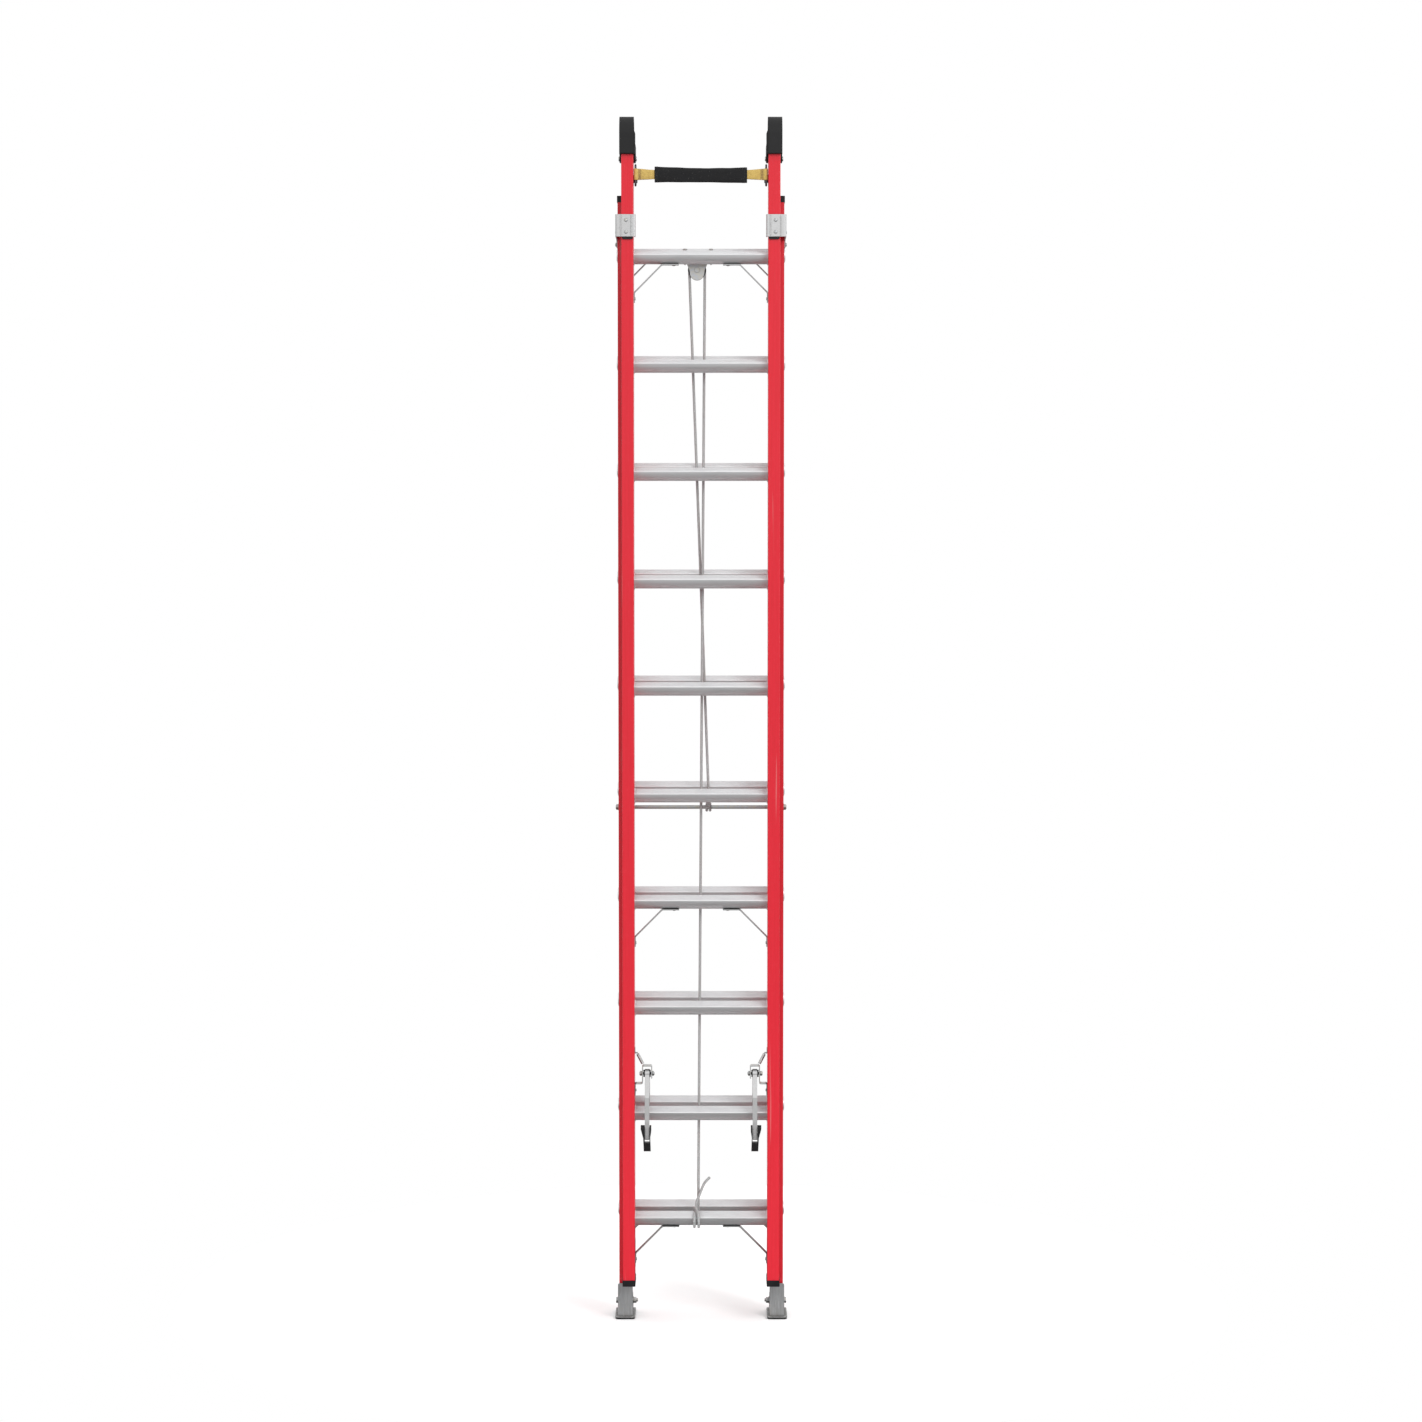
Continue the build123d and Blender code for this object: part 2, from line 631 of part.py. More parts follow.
def pulley_hanger():
    """A saddle under the top base rung, and a bridge with two cheeks for the sheave."""
    z = rung_centre_z(BASE_RUNG_Z, RUNG_COUNT - 1)
    plane = tread_plane(BASE_Y, z)
    depth = BELLY_DEPTH + RUNNING
    snug = d_face(TREAD_WIDTH + 2 * RUNNING, depth)
    grown = d_face(TREAD_WIDTH + 2 * SADDLE_WALL, depth + SADDLE_WALL)
    solid_rung = extrude(plane * snug, BASE_HALF_CLEAR, both=True)
    saddle = extrude(plane * grown, BASE_HALF_CLEAR, both=True) - solid_rung
    low = z + TREAD_RISE - BELLY_DEPTH - 2 * SADDLE_WALL
    saddle = saddle & block(SADDLE_X, (0, 2 * BASE_Y), (low, low + SADDLE_HEIGHT))
    rear, front = cheek_places()
    cheeks = []
    for near, far in (rear, front):
        face = Plane(origin=(SHEAVE_X, far, SHEAVE_Z), x_dir=(1, 0, 0), z_dir=(0, -1, 0))
        cheeks.append(extrude(face * cheek_outline(), far - near))
    half, top = CHEEK_OUTLINE[0]
    bridge_x = (SHEAVE_X - half + 2 * CHEEK_GAP, SHEAVE_X + half - 2 * CHEEK_GAP)
    bridge_z = (SHEAVE_Z + top - BRIDGE_DROP, SHEAVE_Z + top)
    bridge = block(bridge_x, (front[0], BRIDGE_REAR_Y), bridge_z) - solid_rung
    hanger = saddle + cheeks + bridge
    return hanger - rod_y(SHEAVE_X, (front[0] - 1, rear[1] + 1), SHEAVE_Z, AXLE_RADIUS)


def sheave():
    groove_radius = SHEAVE_PITCH_RADIUS - ROPE_RADIUS - GROOVE_CLEARANCE
    half = SHEAVE_WIDTH / 2
    groove_half = ROPE_RADIUS + GROOVE_CLEARANCE
    points = [
        (AXLE_RADIUS + RUNNING, -half),
        (SHEAVE_RADIUS, -half),
        (SHEAVE_RADIUS, -groove_half - 0.6),
        (SHEAVE_PITCH_RADIUS, -groove_half),
    ]
    lower = Polyline(*points)
    bottom = ThreePointArc(points[-1], (groove_radius, 0), (SHEAVE_PITCH_RADIUS, groove_half))
    mirrored = [(radius, -height) for radius, height in reversed(points)]
    upper = Polyline(*mirrored)
    close = Line(mirrored[-1], points[0])
    profile = make_face([lower, bottom, upper, close])
    wheel = revolve(Plane.XZ * profile, Axis.Z)
    holes = [
        Rot(0, 0, number * 60.0) * Pos(11.0, 0, 0) * Cylinder(2.6, SHEAVE_WIDTH + 2)
        for number in range(6)
    ]
    wheel -= holes
    return Pos(SHEAVE_X, SHEAVE_Y, SHEAVE_Z) * Rot(90, 0, 0) * wheel


def make_pulley():
    save("pulley_hanger", pulley_hanger())
    save("pulley_sheave", sheave())
    rear, front = cheek_places()
    axle = rod_y(SHEAVE_X, (front[0], rear[1]), SHEAVE_Z, AXLE_RADIUS)
    head = rod_y(SHEAVE_X, (front[0] - AXLE_HEAD[1], front[0]), SHEAVE_Z, AXLE_HEAD[0])
    save("pulley_axle", axle + head)


# Rope ----------------------------------------------------------------------------------

HAUL_LEAN = 2.1  # the hauling side runs down towards +X by this angle
HAUL_TOP = (
    SHEAVE_X - SHEAVE_PITCH_RADIUS * cos(radians(HAUL_LEAN)),
    SHEAVE_Y,
    SHEAVE_Z - SHEAVE_PITCH_RADIUS * sin(radians(HAUL_LEAN)),
)
LIFT_TOP = (SHEAVE_X + SHEAVE_PITCH_RADIUS, SHEAVE_Y, SHEAVE_Z)
LIFT_FOOT = (-8.2, -17.4, 331.0)
ROD_KNOT_X = 21.0
HITCH_X = (-19.3, -6.7)
HAUL_ROUTE = [
    (21.4, 29.0, 1497.0),
    (21.2, 18.6, 1524.0),
    (19.8, 16.8, 1570.0),
    HAUL_TOP,
]
TAIL_ROUTE = [
    (-19.3, -24.5, 331.0),
    (-15.0, -26.5, 343.0),
    (-9.0, -27.0, 356.0),
    (-2.6, -26.4, 371.0),
    (3.9, -25.0, 390.0),
    (12.4, -23.6, 406.0),
    (24.2, -22.6, 416.5),
]


def corner_radii(points):
    """For each corner, 0.45 of its shorter run over the tangent of half its turn."""
    radii = []
    for before, here, after in zip(points, points[1:], points[2:]):
        incoming = Vector(*here) - Vector(*before)
        outgoing = Vector(*after) - Vector(*here)
        turn = incoming.get_angle(outgoing)
        shorter = min(incoming.length, outgoing.length)
        radii.append(0.45 * shorter / tan(radians(turn / 2)))
    return radii


def rope_tube(points, radius=ROPE_RADIUS):
    """A plain tube along straight runs joined by tangent arcs."""
    radii = corner_radii(points)
    print("corner radii", [round(value, 1) for value in radii])
    path = FilletPolyline(*points, radius=radii) if radii else Line(*points)
    start = Plane(origin=path @ 0, z_dir=path % 0)
    return sweep(start * Circle(radius), path=path)


def over_sheave():
    """The turn over the sheave, from the hauling side to the lifting side."""
    plane = Plane(origin=LIFT_TOP, x_dir=(1, 0, 0), z_dir=(0, 0, 1))
    axis = Axis((SHEAVE_X, SHEAVE_Y, SHEAVE_Z), (0, -1, 0))
    return revolve(plane * Circle(ROPE_RADIUS), axis, revolution_arc=180.0 + HAUL_LEAN)


def hitch_turn(x):
    """One turn of the rope round the lowest fly rung."""
    plane = tread_plane(FLY_Y, FLY_RUNG_Z)
    gap = RIDGE_HEIGHT + 0.3
    inner = Pos(0, gap) * d_face(TREAD_WIDTH + 2 * gap, BELLY_DEPTH + 2 * gap)
    thick = 2 * ROPE_RADIUS
    outer = Pos(0, gap + thick) * d_face(
        TREAD_WIDTH + 2 * (gap + thick), BELLY_DEPTH + 2 * (gap + thick)
    )
    ring = extrude(plane * outer, ROPE_RADIUS, both=True)
    ring -= extrude(plane * inner, 2 * ROPE_RADIUS, both=True)
    return Pos(x, 0, 0) * ring


def rod_turn(x):
    """One turn of the rope round the tie rod."""
    gap = 0.3
    ring = Torus(TIE_ROD_RADIUS + ROPE_RADIUS + gap, ROPE_RADIUS)
    return Pos(x, BASE_Y, tie_rod_z()) * Rot(0, 90, 0) * ring


def make_rope():
    haul = rope_tube(HAUL_ROUTE) + over_sheave()
    turns = [rod_turn(ROD_KNOT_X - 4.6), rod_turn(ROD_KNOT_X + 4.6)]
    save("rope_haul", haul - turns, *turns)
    save("rope_lift", rope_tube([LIFT_TOP, LIFT_FOOT]) - hitch_turn(HITCH_X[1]))
    turns = [hitch_turn(x) for x in HITCH_X]
    save("rope_hitch", *turns, rope_tube(TAIL_ROUTE) - turns)


# Rung locks ----------------------------------------------------------------------------


def lock_arm():
    """The cast lock: an arm before the fly rung, a hook that drops over a base rung, and a pin."""
    outline = [
        (-52.0, 736.0),
        (-20.0, 730.0),
        (4.0, 708.0),
        (17.0, 676.0),
        (20.5, 645.0),
        (20.5, 629.5),
        (-10.0, 626.0),
        (-13.0, 645.0),
        (-32.0, 662.0),
        (-66.0, 664.0),
        (-85.0, 640.0),
        (-85.0, 596.0),
        (-76.0, 560.0),
        (-77.0, 538.0),
        (-91.0, 538.0),
        (-94.0, 590.0),
        (-94.0, 660.0),
        (-76.0, 722.0),
    ]
    face = yz_face(outline)
    face = fillet(face.vertices().filter_by(lambda v: v.Y < 15), 3.0)
    arm = Pos(LOCK_X[0], 0, 0) * extrude(face, LOCK_X[1] - LOCK_X[0])
    arm += rod_x(LOCK_X, LOCK_PIVOT_Y, LOCK_PIVOT_Z, LOCK_HUB_RADIUS)
    arm += rod_x(LOCK_X, TONGUE_PIN_Y, TONGUE_PIN_Z, 8.0)
    pin = rod_x((LOCK_X[0] - 2.5, LOCK_X[1] + 4.0), TONGUE_PIN_Y, TONGUE_PIN_Z, TONGUE_PIN_RADIUS)
    bore = rod_x((100, 200), LOCK_PIVOT_Y, LOCK_PIVOT_Z, LOCK_BOLT_RADIUS + RUNNING)
    return arm + pin - bore


def lock_bushes():
    """The two flanged bushes beside the lock's hub."""
    bushes = []
    for x in ((144.0, LOCK_X[0]), (LOCK_X[1], 164.6)):
        bush = rod_x(x, LOCK_PIVOT_Y, LOCK_PIVOT_Z, 10.5)
        hole = rod_x((100, 200), LOCK_PIVOT_Y, LOCK_PIVOT_Z, LOCK_BOLT_RADIUS + RUNNING)
        bushes.append(bush - hole)
    return bushes


def lock_bracket():
    """A bent strip on the fly web that holds both ends of the lock's bolt."""
    thick = 2.6
    wall = FLY_HALF_CLEAR - thick / 2
    points = [
        (wall, 664.0),
        (wall, 697.0),
        (167.2, 697.0),
        (167.2, 748.0),
        (141.0, 748.0),
        (141.0, 712.0),
    ]
    path = FilletPolyline(*points, radius=4.0)
    strip = extrude(Plane.XZ * trace(path, thick), 14.0, both=True)
    bracket = Pos(0, LOCK_PIVOT_Y, 0) * strip
    return bracket - rod_x((100, 200), LOCK_PIVOT_Y, LOCK_PIVOT_Z, LOCK_BOLT_RADIUS)


def lock_bolt():
    """The pivot bolt with its nut, and the rivets of the bracket's foot."""
    shank = rod_x((133.0, 176.0), LOCK_PIVOT_Y, LOCK_PIVOT_Z, LOCK_BOLT_RADIUS)
    head = hexagon_x((134.6, 139.6), LOCK_PIVOT_Y, LOCK_PIVOT_Z, 7.2)
    nut = hexagon_x((168.6, 175.0), LOCK_PIVOT_Y, LOCK_PIVOT_Z, 7.2)
    rivet = dome_x(FLY_HALF_CLEAR - 2.6, LOCK_PIVOT_Y, 677.0, 4.0, 2.4, -1)
    return [shank + head, nut - shank, rivet]


def lock_spring():
    """The return spring between the web and the bracket, with a clip at its upper end."""
    top = Vector(181.0, LOCK_PIVOT_Y, 781.0)
    foot = Vector(166.5, LOCK_PIVOT_Y, 753.0)
    axis = foot - top
    plane = Plane(origin=top, z_dir=axis)
    coil = Helix(pitch=2.4, height=axis.length, radius=4.0)
    section = Plane(origin=coil @ 0, z_dir=coil % 0) * Circle(0.8)
    spring = plane.location * sweep(section, path=coil, is_frenet=True)
    clip = block((180.5, FLY_HALF_CLEAR), (LOCK_PIVOT_Y - 5, LOCK_PIVOT_Y + 5), (783.0, 786.0))
    clip += block((FLY_HALF_CLEAR - 2, FLY_HALF_CLEAR), (LOCK_PIVOT_Y - 5, LOCK_PIVOT_Y + 5), (783.0, 800.0))
    return [spring, clip]


def tongue():
    """The moulded tongue: two cheeks beside the arm's end, flared at their tops, joined below it."""
    profile = [
        (-97.0, 574.0),
        (-88.0, 580.0),
        (-74.0, 578.0),
        (-68.0, 562.0),
        (-70.0, 526.0),
        (-74.0, 509.0),
        (-82.0, 503.0),
        (-92.0, 509.0),
        (-96.0, 530.0),
    ]
    outline = [
        (142.2, 590.0),
        (142.2, 562.0),
        (145.2, 543.0),
        (143.5, 500.0),
        (163.2, 500.0),
        (165.0, 544.0),
        (172.0, 570.0),
        (172.0, 590.0),
    ]
    side = fillet(yz_face(profile).vertices(), 3.0)
    body = extrude(side, 200)
    front = make_face(Polyline(*outline, close=True))
    body &= extrude(Plane.XZ * front, 120)
    slot_x = (LOCK_X[0] - TONGUE_GAP, LOCK_X[1] + TONGUE_GAP)
    body -= block(slot_x, (-110, -60), (530.0, 592.0))
    return body - rod_x((100, 200), TONGUE_PIN_Y, TONGUE_PIN_Z, TONGUE_PIN_RADIUS + RUNNING)


def make_locks():
    save_pair("lock_arm", lock_arm())
    save_both("lock_bushes", *lock_bushes())
    save_both("lock_brackets", lock_bracket())
    save_both("lock_springs", *lock_spring())
    save_pair("lock_tongue", tongue())


# Cable hooks ---------------------------------------------------------------------------


def hook_path(inset):
    """The hook's middle line: up, over and a little down at the rear."""
    radius = HOOK_OUTER_RADIUS - HOOK_THICKNESS / 2
    front = HOOK_FRONT_Y + HOOK_THICKNESS / 2
    rear = front + 2 * radius
    middle = (front + rear) / 2
    rise = Line((front, SADDLE_Z[0] + inset), (front, HOOK_CENTRE_Z))
    over = ThreePointArc(rise @ 1, (middle, HOOK_CENTRE_Z + radius), (rear, HOOK_CENTRE_Z))
    fall = Line(over @ 1, (rear, HOOK_TIP_Z + inset))
    return Wire([rise, over, fall])


def hook_core():
    """The steel strap inside the hook."""
    thick, width = HOOK_CORE
    middle = (HOOK_X[0] + HOOK_X[1]) / 2
    strip = extrude(Plane.YZ * trace(hook_path(4.0), thick), width / 2, both=True)
    return Pos(middle, 0, 0) * strip


def cable_hook():
    """The rubber-covered hook with the saddle that sits over the rail's top end."""
    half = (HOOK_X[1] - HOOK_X[0]) / 2
    middle = (HOOK_X[0] + HOOK_X[1]) / 2
    loop = extrude(Plane.YZ * trace(hook_path(0.0), HOOK_THICKNESS), half, both=True)
    loop = Pos(middle, 0, 0) * fillet(loop.edges().filter_by(Axis.X).group_by(Axis.Z)[0], 3.0)
    rear = FLY_Y + RAIL_DEPTH / 2 + 2.0
    saddle = block((HOOK_CHEEK_X, HOOK_X[1]), (HOOK_FRONT_Y + 2, rear), SADDLE_Z)
    saddle = fillet(saddle.edges().filter_by(Axis.Z), 4.0)
    hook = loop + saddle
    for x in ((HOOK_CHEEK_X, FLY_HALF_CLEAR), (FLY_HALF_WIDTH, HOOK_X[1])):
        cheek = block(x, HOOK_CHEEK_Y, (HOOK_CHEEK_BOTTOM, SADDLE_Z[0] + 4))
        hook += fillet(cheek.edges().filter_by(Axis.X).group_by(Axis.Z)[0], 14.0)
    hook += hook_rib()
    channel = channel_face(FLY_HALF_CLEAR, FLY_HALF_WIDTH, FLY_Y)
    rail_end = extrude(Pos(0, 0, HOOK_CHEEK_BOTTOM) * channel, FLY_RAIL_TOP - HOOK_CHEEK_BOTTOM)
    return hook - rail_end - hook_core()


def hook_rib():
    """The rib on the inner side of the hook's front leg, sloped off at its top."""
    front = (HOOK_FRONT_Y + 1, HOOK_FRONT_Y + HOOK_THICKNESS)
    corners = [
        (HOOK_CHEEK_X, SADDLE_Z[1] - 4),
        (HOOK_X[0] + 1, SADDLE_Z[1] - 4),
        (HOOK_X[0] + 1, HOOK_RIB_TOP),
        (HOOK_X[0], HOOK_RIB_TOP),
        (HOOK_CHEEK_X, HOOK_RIB_TOP - 14.0),
    ]
    rib = extrude(Plane.XZ * make_face(Polyline(*corners, close=True)), front[1] - front[0])
    return Pos(0, front[1], 0) * rib


def hook_bolts():
    """Round heads on the cheeks."""
    inner = dome_x(HOOK_CHEEK_X, FLY_Y, HOOK_BOLT_Z, 7.0, 3.4, -1)
    outer = dome_x(HOOK_X[1], FLY_Y, HOOK_BOLT_Z, 7.0, 3.4, 1)
    return [inner, outer]


def make_hooks():
    save_pair("cable_hook", cable_hook())
    save_both("hook_cores", hook_core())


# Pole strap ----------------------------------------------------------------------------


def strap_link():
    """A bent wire link in the plane of the web, with an upright front bar for the strap."""
    low, high = LINK_Z
    points = [
        (STRAP_Y, low),
        (STRAP_Y, high),
        (LINK_REAR_Y, high - 14),
        (LINK_REAR_Y, low + 6),
    ]
    corners = [Vector(0, y, z) for y, z in points]
    closed = Polyline(*corners, close=True)
    smooth = Wire(closed.edges()).fillet_2d(6.0, closed.vertices())
    start = Plane(origin=smooth @ 0, z_dir=smooth % 0)
    ring = sweep(start * Circle(LINK_WIRE), path=smooth)
    return Pos(LINK_X, 0, 0) * ring


def link_staple():
    """The eye plate that holds the link's rear bar against the web."""
    y = (LINK_REAR_Y - 6.5, LINK_REAR_Y + 6.5)
    z = (LINK_Z[0] + 11, LINK_Z[0] + 33)
    plate = block((LINK_X - 5, FLY_HALF_CLEAR), y, z)
    plate = fillet(plate.edges().filter_by(Axis.Z).group_by(Axis.X)[0], 3.0)
    return plate - Pos(LINK_X, LINK_REAR_Y, STRAP_Z) * Cylinder(LINK_WIRE + 0.2, 80)


def pole_strap():
    """The webbing: a flat band with a loop round each link's front bar."""
    thick, width = WEBBING
    bar = Pos(LINK_X, STRAP_Y, STRAP_Z)
    inner = LINK_WIRE + 0.4
    outer = inner + thick
    loop = bar * (Cylinder(outer, width) - Cylinder(inner, width + 2))
    band_y = (STRAP_Y - outer, STRAP_Y + outer)
    ply = block((LINK_X - 52, LINK_X - inner - 0.4), band_y, (STRAP_Z - width / 2, STRAP_Z + width / 2))
    ply -= bar * Cylinder(inner, width + 2)
    half = block(
        (-LINK_X + 51, LINK_X - 51),
        (STRAP_Y - thick, STRAP_Y + thick),
        (STRAP_Z - width / 2, STRAP_Z + width / 2),
    )
    return half + loop + ply + other_side(loop) + other_side(ply)


def strap_sleeve():
    """The foam sleeve round the middle of the webbing."""
    thick, height = SLEEVE
    sleeve = block(
        (-SLEEVE_HALF_LENGTH, SLEEVE_HALF_LENGTH),
        (STRAP_Y - thick / 2, STRAP_Y + thick / 2),
        (STRAP_Z - height / 2, STRAP_Z + height / 2),
    )
    sleeve = fillet(sleeve.edges().filter_by(Axis.X), 5.5)
    return sleeve - pole_strap()


def make_strap():
    save_both("strap_links", strap_link(), link_staple())
    save("pole_strap", pole_strap())
    save("strap_sleeve", strap_sleeve())


def main():
    os.makedirs("parts", exist_ok=True)
    make_rails()
    make_rungs()
    make_braces()
    save("tie_rod", tie_rod())
    make_shoes()
    make_guides()
    make_pulley()
    make_rope()
    make_locks()
    make_hooks()
    make_strap()


main()
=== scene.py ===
import json
import math

import bpy
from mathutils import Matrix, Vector, noise


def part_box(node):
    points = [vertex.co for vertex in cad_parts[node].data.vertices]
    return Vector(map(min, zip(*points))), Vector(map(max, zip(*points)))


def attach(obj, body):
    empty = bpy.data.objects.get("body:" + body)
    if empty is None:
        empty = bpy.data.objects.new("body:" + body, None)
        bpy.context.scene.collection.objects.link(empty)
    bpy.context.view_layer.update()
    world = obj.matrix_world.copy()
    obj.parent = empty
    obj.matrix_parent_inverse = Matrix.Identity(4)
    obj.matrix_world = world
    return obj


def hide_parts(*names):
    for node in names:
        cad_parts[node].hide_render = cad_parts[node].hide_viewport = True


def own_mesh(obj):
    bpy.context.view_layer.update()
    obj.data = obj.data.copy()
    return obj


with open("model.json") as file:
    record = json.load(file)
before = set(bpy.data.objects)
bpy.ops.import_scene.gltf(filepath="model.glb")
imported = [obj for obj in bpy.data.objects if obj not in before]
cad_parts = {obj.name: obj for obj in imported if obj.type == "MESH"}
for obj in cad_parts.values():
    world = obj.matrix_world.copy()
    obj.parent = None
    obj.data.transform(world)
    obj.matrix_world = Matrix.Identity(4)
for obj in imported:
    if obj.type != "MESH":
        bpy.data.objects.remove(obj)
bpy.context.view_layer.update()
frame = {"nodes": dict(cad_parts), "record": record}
MM = 0.001
RANGE_SOCKETS = ("From Min", "From Max", "To Min", "To Max")


# Materials -----------------------------------------------------------------------------


def srgb(red, green, blue):
    """A colour given in 0 to 255 display values, as the linear values that shaders take."""
    channels = []
    for value in (red, green, blue):
        share = value / 255
        channels.append(share / 12.92 if share <= 0.04045 else ((share + 0.055) / 1.055) ** 2.4)
    return (*channels, 1.0)


class Finish:
    """A material under construction: each method adds nodes and returns an output."""

    def __init__(self, name, **constants):
        self.material = bpy.data.materials.new(name)
        self.material.use_nodes = True
        self.tree = self.material.node_tree
        self.shader = self.tree.nodes["Principled BSDF"]
        self.place = self.add("ShaderNodeTexCoord").outputs
        for socket, value in constants.items():
            self.shader.inputs[socket.replace("_", " ")].default_value = value

    def add(self, kind, **settings):
        node = self.tree.nodes.new(kind)
        for key, value in settings.items():
            setattr(node, key, value)
        return node

    def join(self, output, socket):
        self.tree.links.new(output, socket)

    def to(self, socket, output):
        self.join(output, self.shader.inputs[socket])

    def stretched(self, scale, source="Object"):
        """Object or UV coordinates, scaled on each axis."""
        mapping = self.add("ShaderNodeMapping")
        mapping.inputs["Scale"].default_value = scale
        self.join(self.place[source], mapping.inputs["Vector"])
        return mapping.outputs["Vector"]

    def noise(self, scale, detail=3.0, rough=0.55):
        node = self.add("ShaderNodeTexNoise")
        node.inputs["Scale"].default_value = 1.0
        node.inputs["Detail"].default_value = detail
        node.inputs["Roughness"].default_value = rough
        self.join(self.stretched(scale), node.inputs["Vector"])
        return node.outputs["Fac"]

    def cells(self, scale, feature="F1"):
        node = self.add("ShaderNodeTexVoronoi", feature=feature)
        node.inputs["Scale"].default_value = 1.0
        self.join(self.stretched(scale), node.inputs["Vector"])
        return node.outputs["Distance"]

    def wave(self, scale, direction, warp=0.0):
        node = self.add("ShaderNodeTexWave", bands_direction=direction)
        node.inputs["Scale"].default_value = 1.0
        node.inputs["Distortion"].default_value = warp
        self.join(self.stretched(scale, "UV"), node.inputs["Vector"])
        return node.outputs["Fac"]

    def axis(self, name):
        node = self.add("ShaderNodeSeparateXYZ")
        self.join(self.place["Object"], node.inputs[0])
        return node.outputs[name]

    def range(self, value, low, high, to_low=0.0, to_high=1.0):
        node = self.add("ShaderNodeMapRange")
        self.join(value, node.inputs["Value"])
        for socket, number in zip(RANGE_SOCKETS, (low, high, to_low, to_high)):
            node.inputs[socket].default_value = number
        return node.outputs["Result"]

    def math(self, operation, first, second):
        node = self.add("ShaderNodeMath", operation=operation)
        for index, value in enumerate((first, second)):
            if isinstance(value, (int, float)):
                node.inputs[index].default_value = value
            else:
                self.join(value, node.inputs[index])
        return node.outputs[0]

    def mix(self, share, first, second):
        """A colour between two colours."""
        node = self.add("ShaderNodeMix", data_type="RGBA")
        self.join(share, node.inputs["Factor"])
        for socket, value in ((node.inputs[6], first), (node.inputs[7], second)):
            if isinstance(value, tuple):
                socket.default_value = value
            else:
                self.join(value, socket)
        return node.outputs[2]

    def bump(self, height, strength, distance, under=None):
        node = self.add("ShaderNodeBump")
        node.inputs["Strength"].default_value = strength
        node.inputs["Distance"].default_value = distance
        self.join(height, node.inputs["Height"])
        if under is not None:
            self.join(under, node.inputs["Normal"])
        self.to("Normal", node.outputs["Normal"])
        return node.outputs["Normal"]

    def painted_crevice_shade(self, distance, dark=0.25, unshaded=0.85):
        """Painted shade: 1 on open surfaces, falling to 0 in corners and gaps, where less light
        reaches.
        """
        node = self.add("ShaderNodeAmbientOcclusion", samples=8)
        node.inputs["Distance"].default_value = distance
        return self.range(node.outputs["AO"], dark, unshaded)

    def rounded(self, radius):
        """A shading normal that rounds sharp edges, so that they catch the light."""
        node = self.add("ShaderNodeBevel", samples=4)
        node.inputs["Radius"].default_value = radius
        return node.outputs["Normal"]


def fibreglass():
    """Red pultruded fibreglass: fibres lengthwise under a thin satin veil, with rub marks."""
    gloss = {"Specular_IOR_Level": 0.4, "Coat_Weight": 0.15, "Coat_Roughness": 0.22}
    f = Finish("fiberglass", Metallic=0.0, **gloss)
    fibres = f.noise((700, 700, 5), detail=4)
    veil = f.noise((160, 160, 60), detail=5, rough=0.7)
    rub = f.range(f.noise((90, 90, 2.2), detail=2), 0.66, 0.78)
    colour = f.mix(f.range(fibres, 0.3, 0.7), RED_DEEP, RED)
    colour = f.mix(f.range(veil, 0.55, 0.8, 0.0, 0.35), colour, RED_PALE)
    colour = f.mix(f.math("MULTIPLY", rub, 0.22), colour, CHALK)
    f.to("Base Color", colour)
    f.to("Roughness", f.range(f.math("ADD", veil, rub), 0.3, 1.4, 0.34, 0.58))
    f.bump(f.math("ADD", fibres, f.math("MULTIPLY", veil, 0.6)), 0.35, 0.00012, f.rounded(0.0007))
    return f.material


def extruded_aluminium(name, pale, dull, grey):
    """Mill-finish extrusion: die lines along it, dull clouds, scuffs, and painted shade in its
    corners.
    """
    f = Finish(name, Metallic=0.82)
    lines = f.noise((3, 900, 900), detail=3)
    cloud = f.noise((14, 40, 40), detail=3)
    scratch = f.range(f.noise((260, 700, 30), detail=2), 0.68, 0.74)
    colour = f.mix(f.range(lines, 0.3, 0.7), dull, pale)
    colour = f.mix(f.range(cloud, 0.5, 0.8, 0.0, 0.3), colour, grey)
    # Painted shade: the colour darkens in corners and gaps.
    f.to("Base Color", f.mix(f.painted_crevice_shade(0.008, 0.05, 0.4), CREVICE_SHADE, colour))
    rough = f.math("ADD", f.range(cloud, 0.3, 0.7, 0.36, 0.5), f.math("MULTIPLY", lines, 0.08))
    f.to("Roughness", f.math("SUBTRACT", rough, f.math("MULTIPLY", scratch, 0.12)))
    height = f.math("SUBTRACT", lines, f.math("MULTIPLY", scratch, 0.8))
    f.bump(height, 0.3, 0.0001, f.rounded(0.0005))
    return f.material


def cast_aluminium():
    """Blasted casting: fine grain with pits, and painted shade in its corners."""
    f = Finish("cast_aluminium", Metallic=0.75)
    grain = f.noise((900, 900, 900), detail=4, rough=0.7)
    pits = f.range(f.cells((420, 420, 420)), 0.0, 0.28)
    cloud = f.noise((30, 30, 30), detail=3)
    colour = f.mix(f.range(grain, 0.3, 0.7), CAST_DARK, CAST)
    colour = f.mix(f.range(cloud, 0.45, 0.8, 0.0, 0.4), colour, ALUMINIUM_GREY)
    # Painted shade: the colour darkens in corners and gaps.
    f.to("Base Color", f.mix(f.painted_crevice_shade(0.012), CREVICE_SHADE, colour))
    f.to("Roughness", f.range(grain, 0.2, 0.8, 0.45, 0.68))
    f.bump(f.math("ADD", grain, pits), 0.45, 0.0002, f.rounded(0.0008))
    return f.material


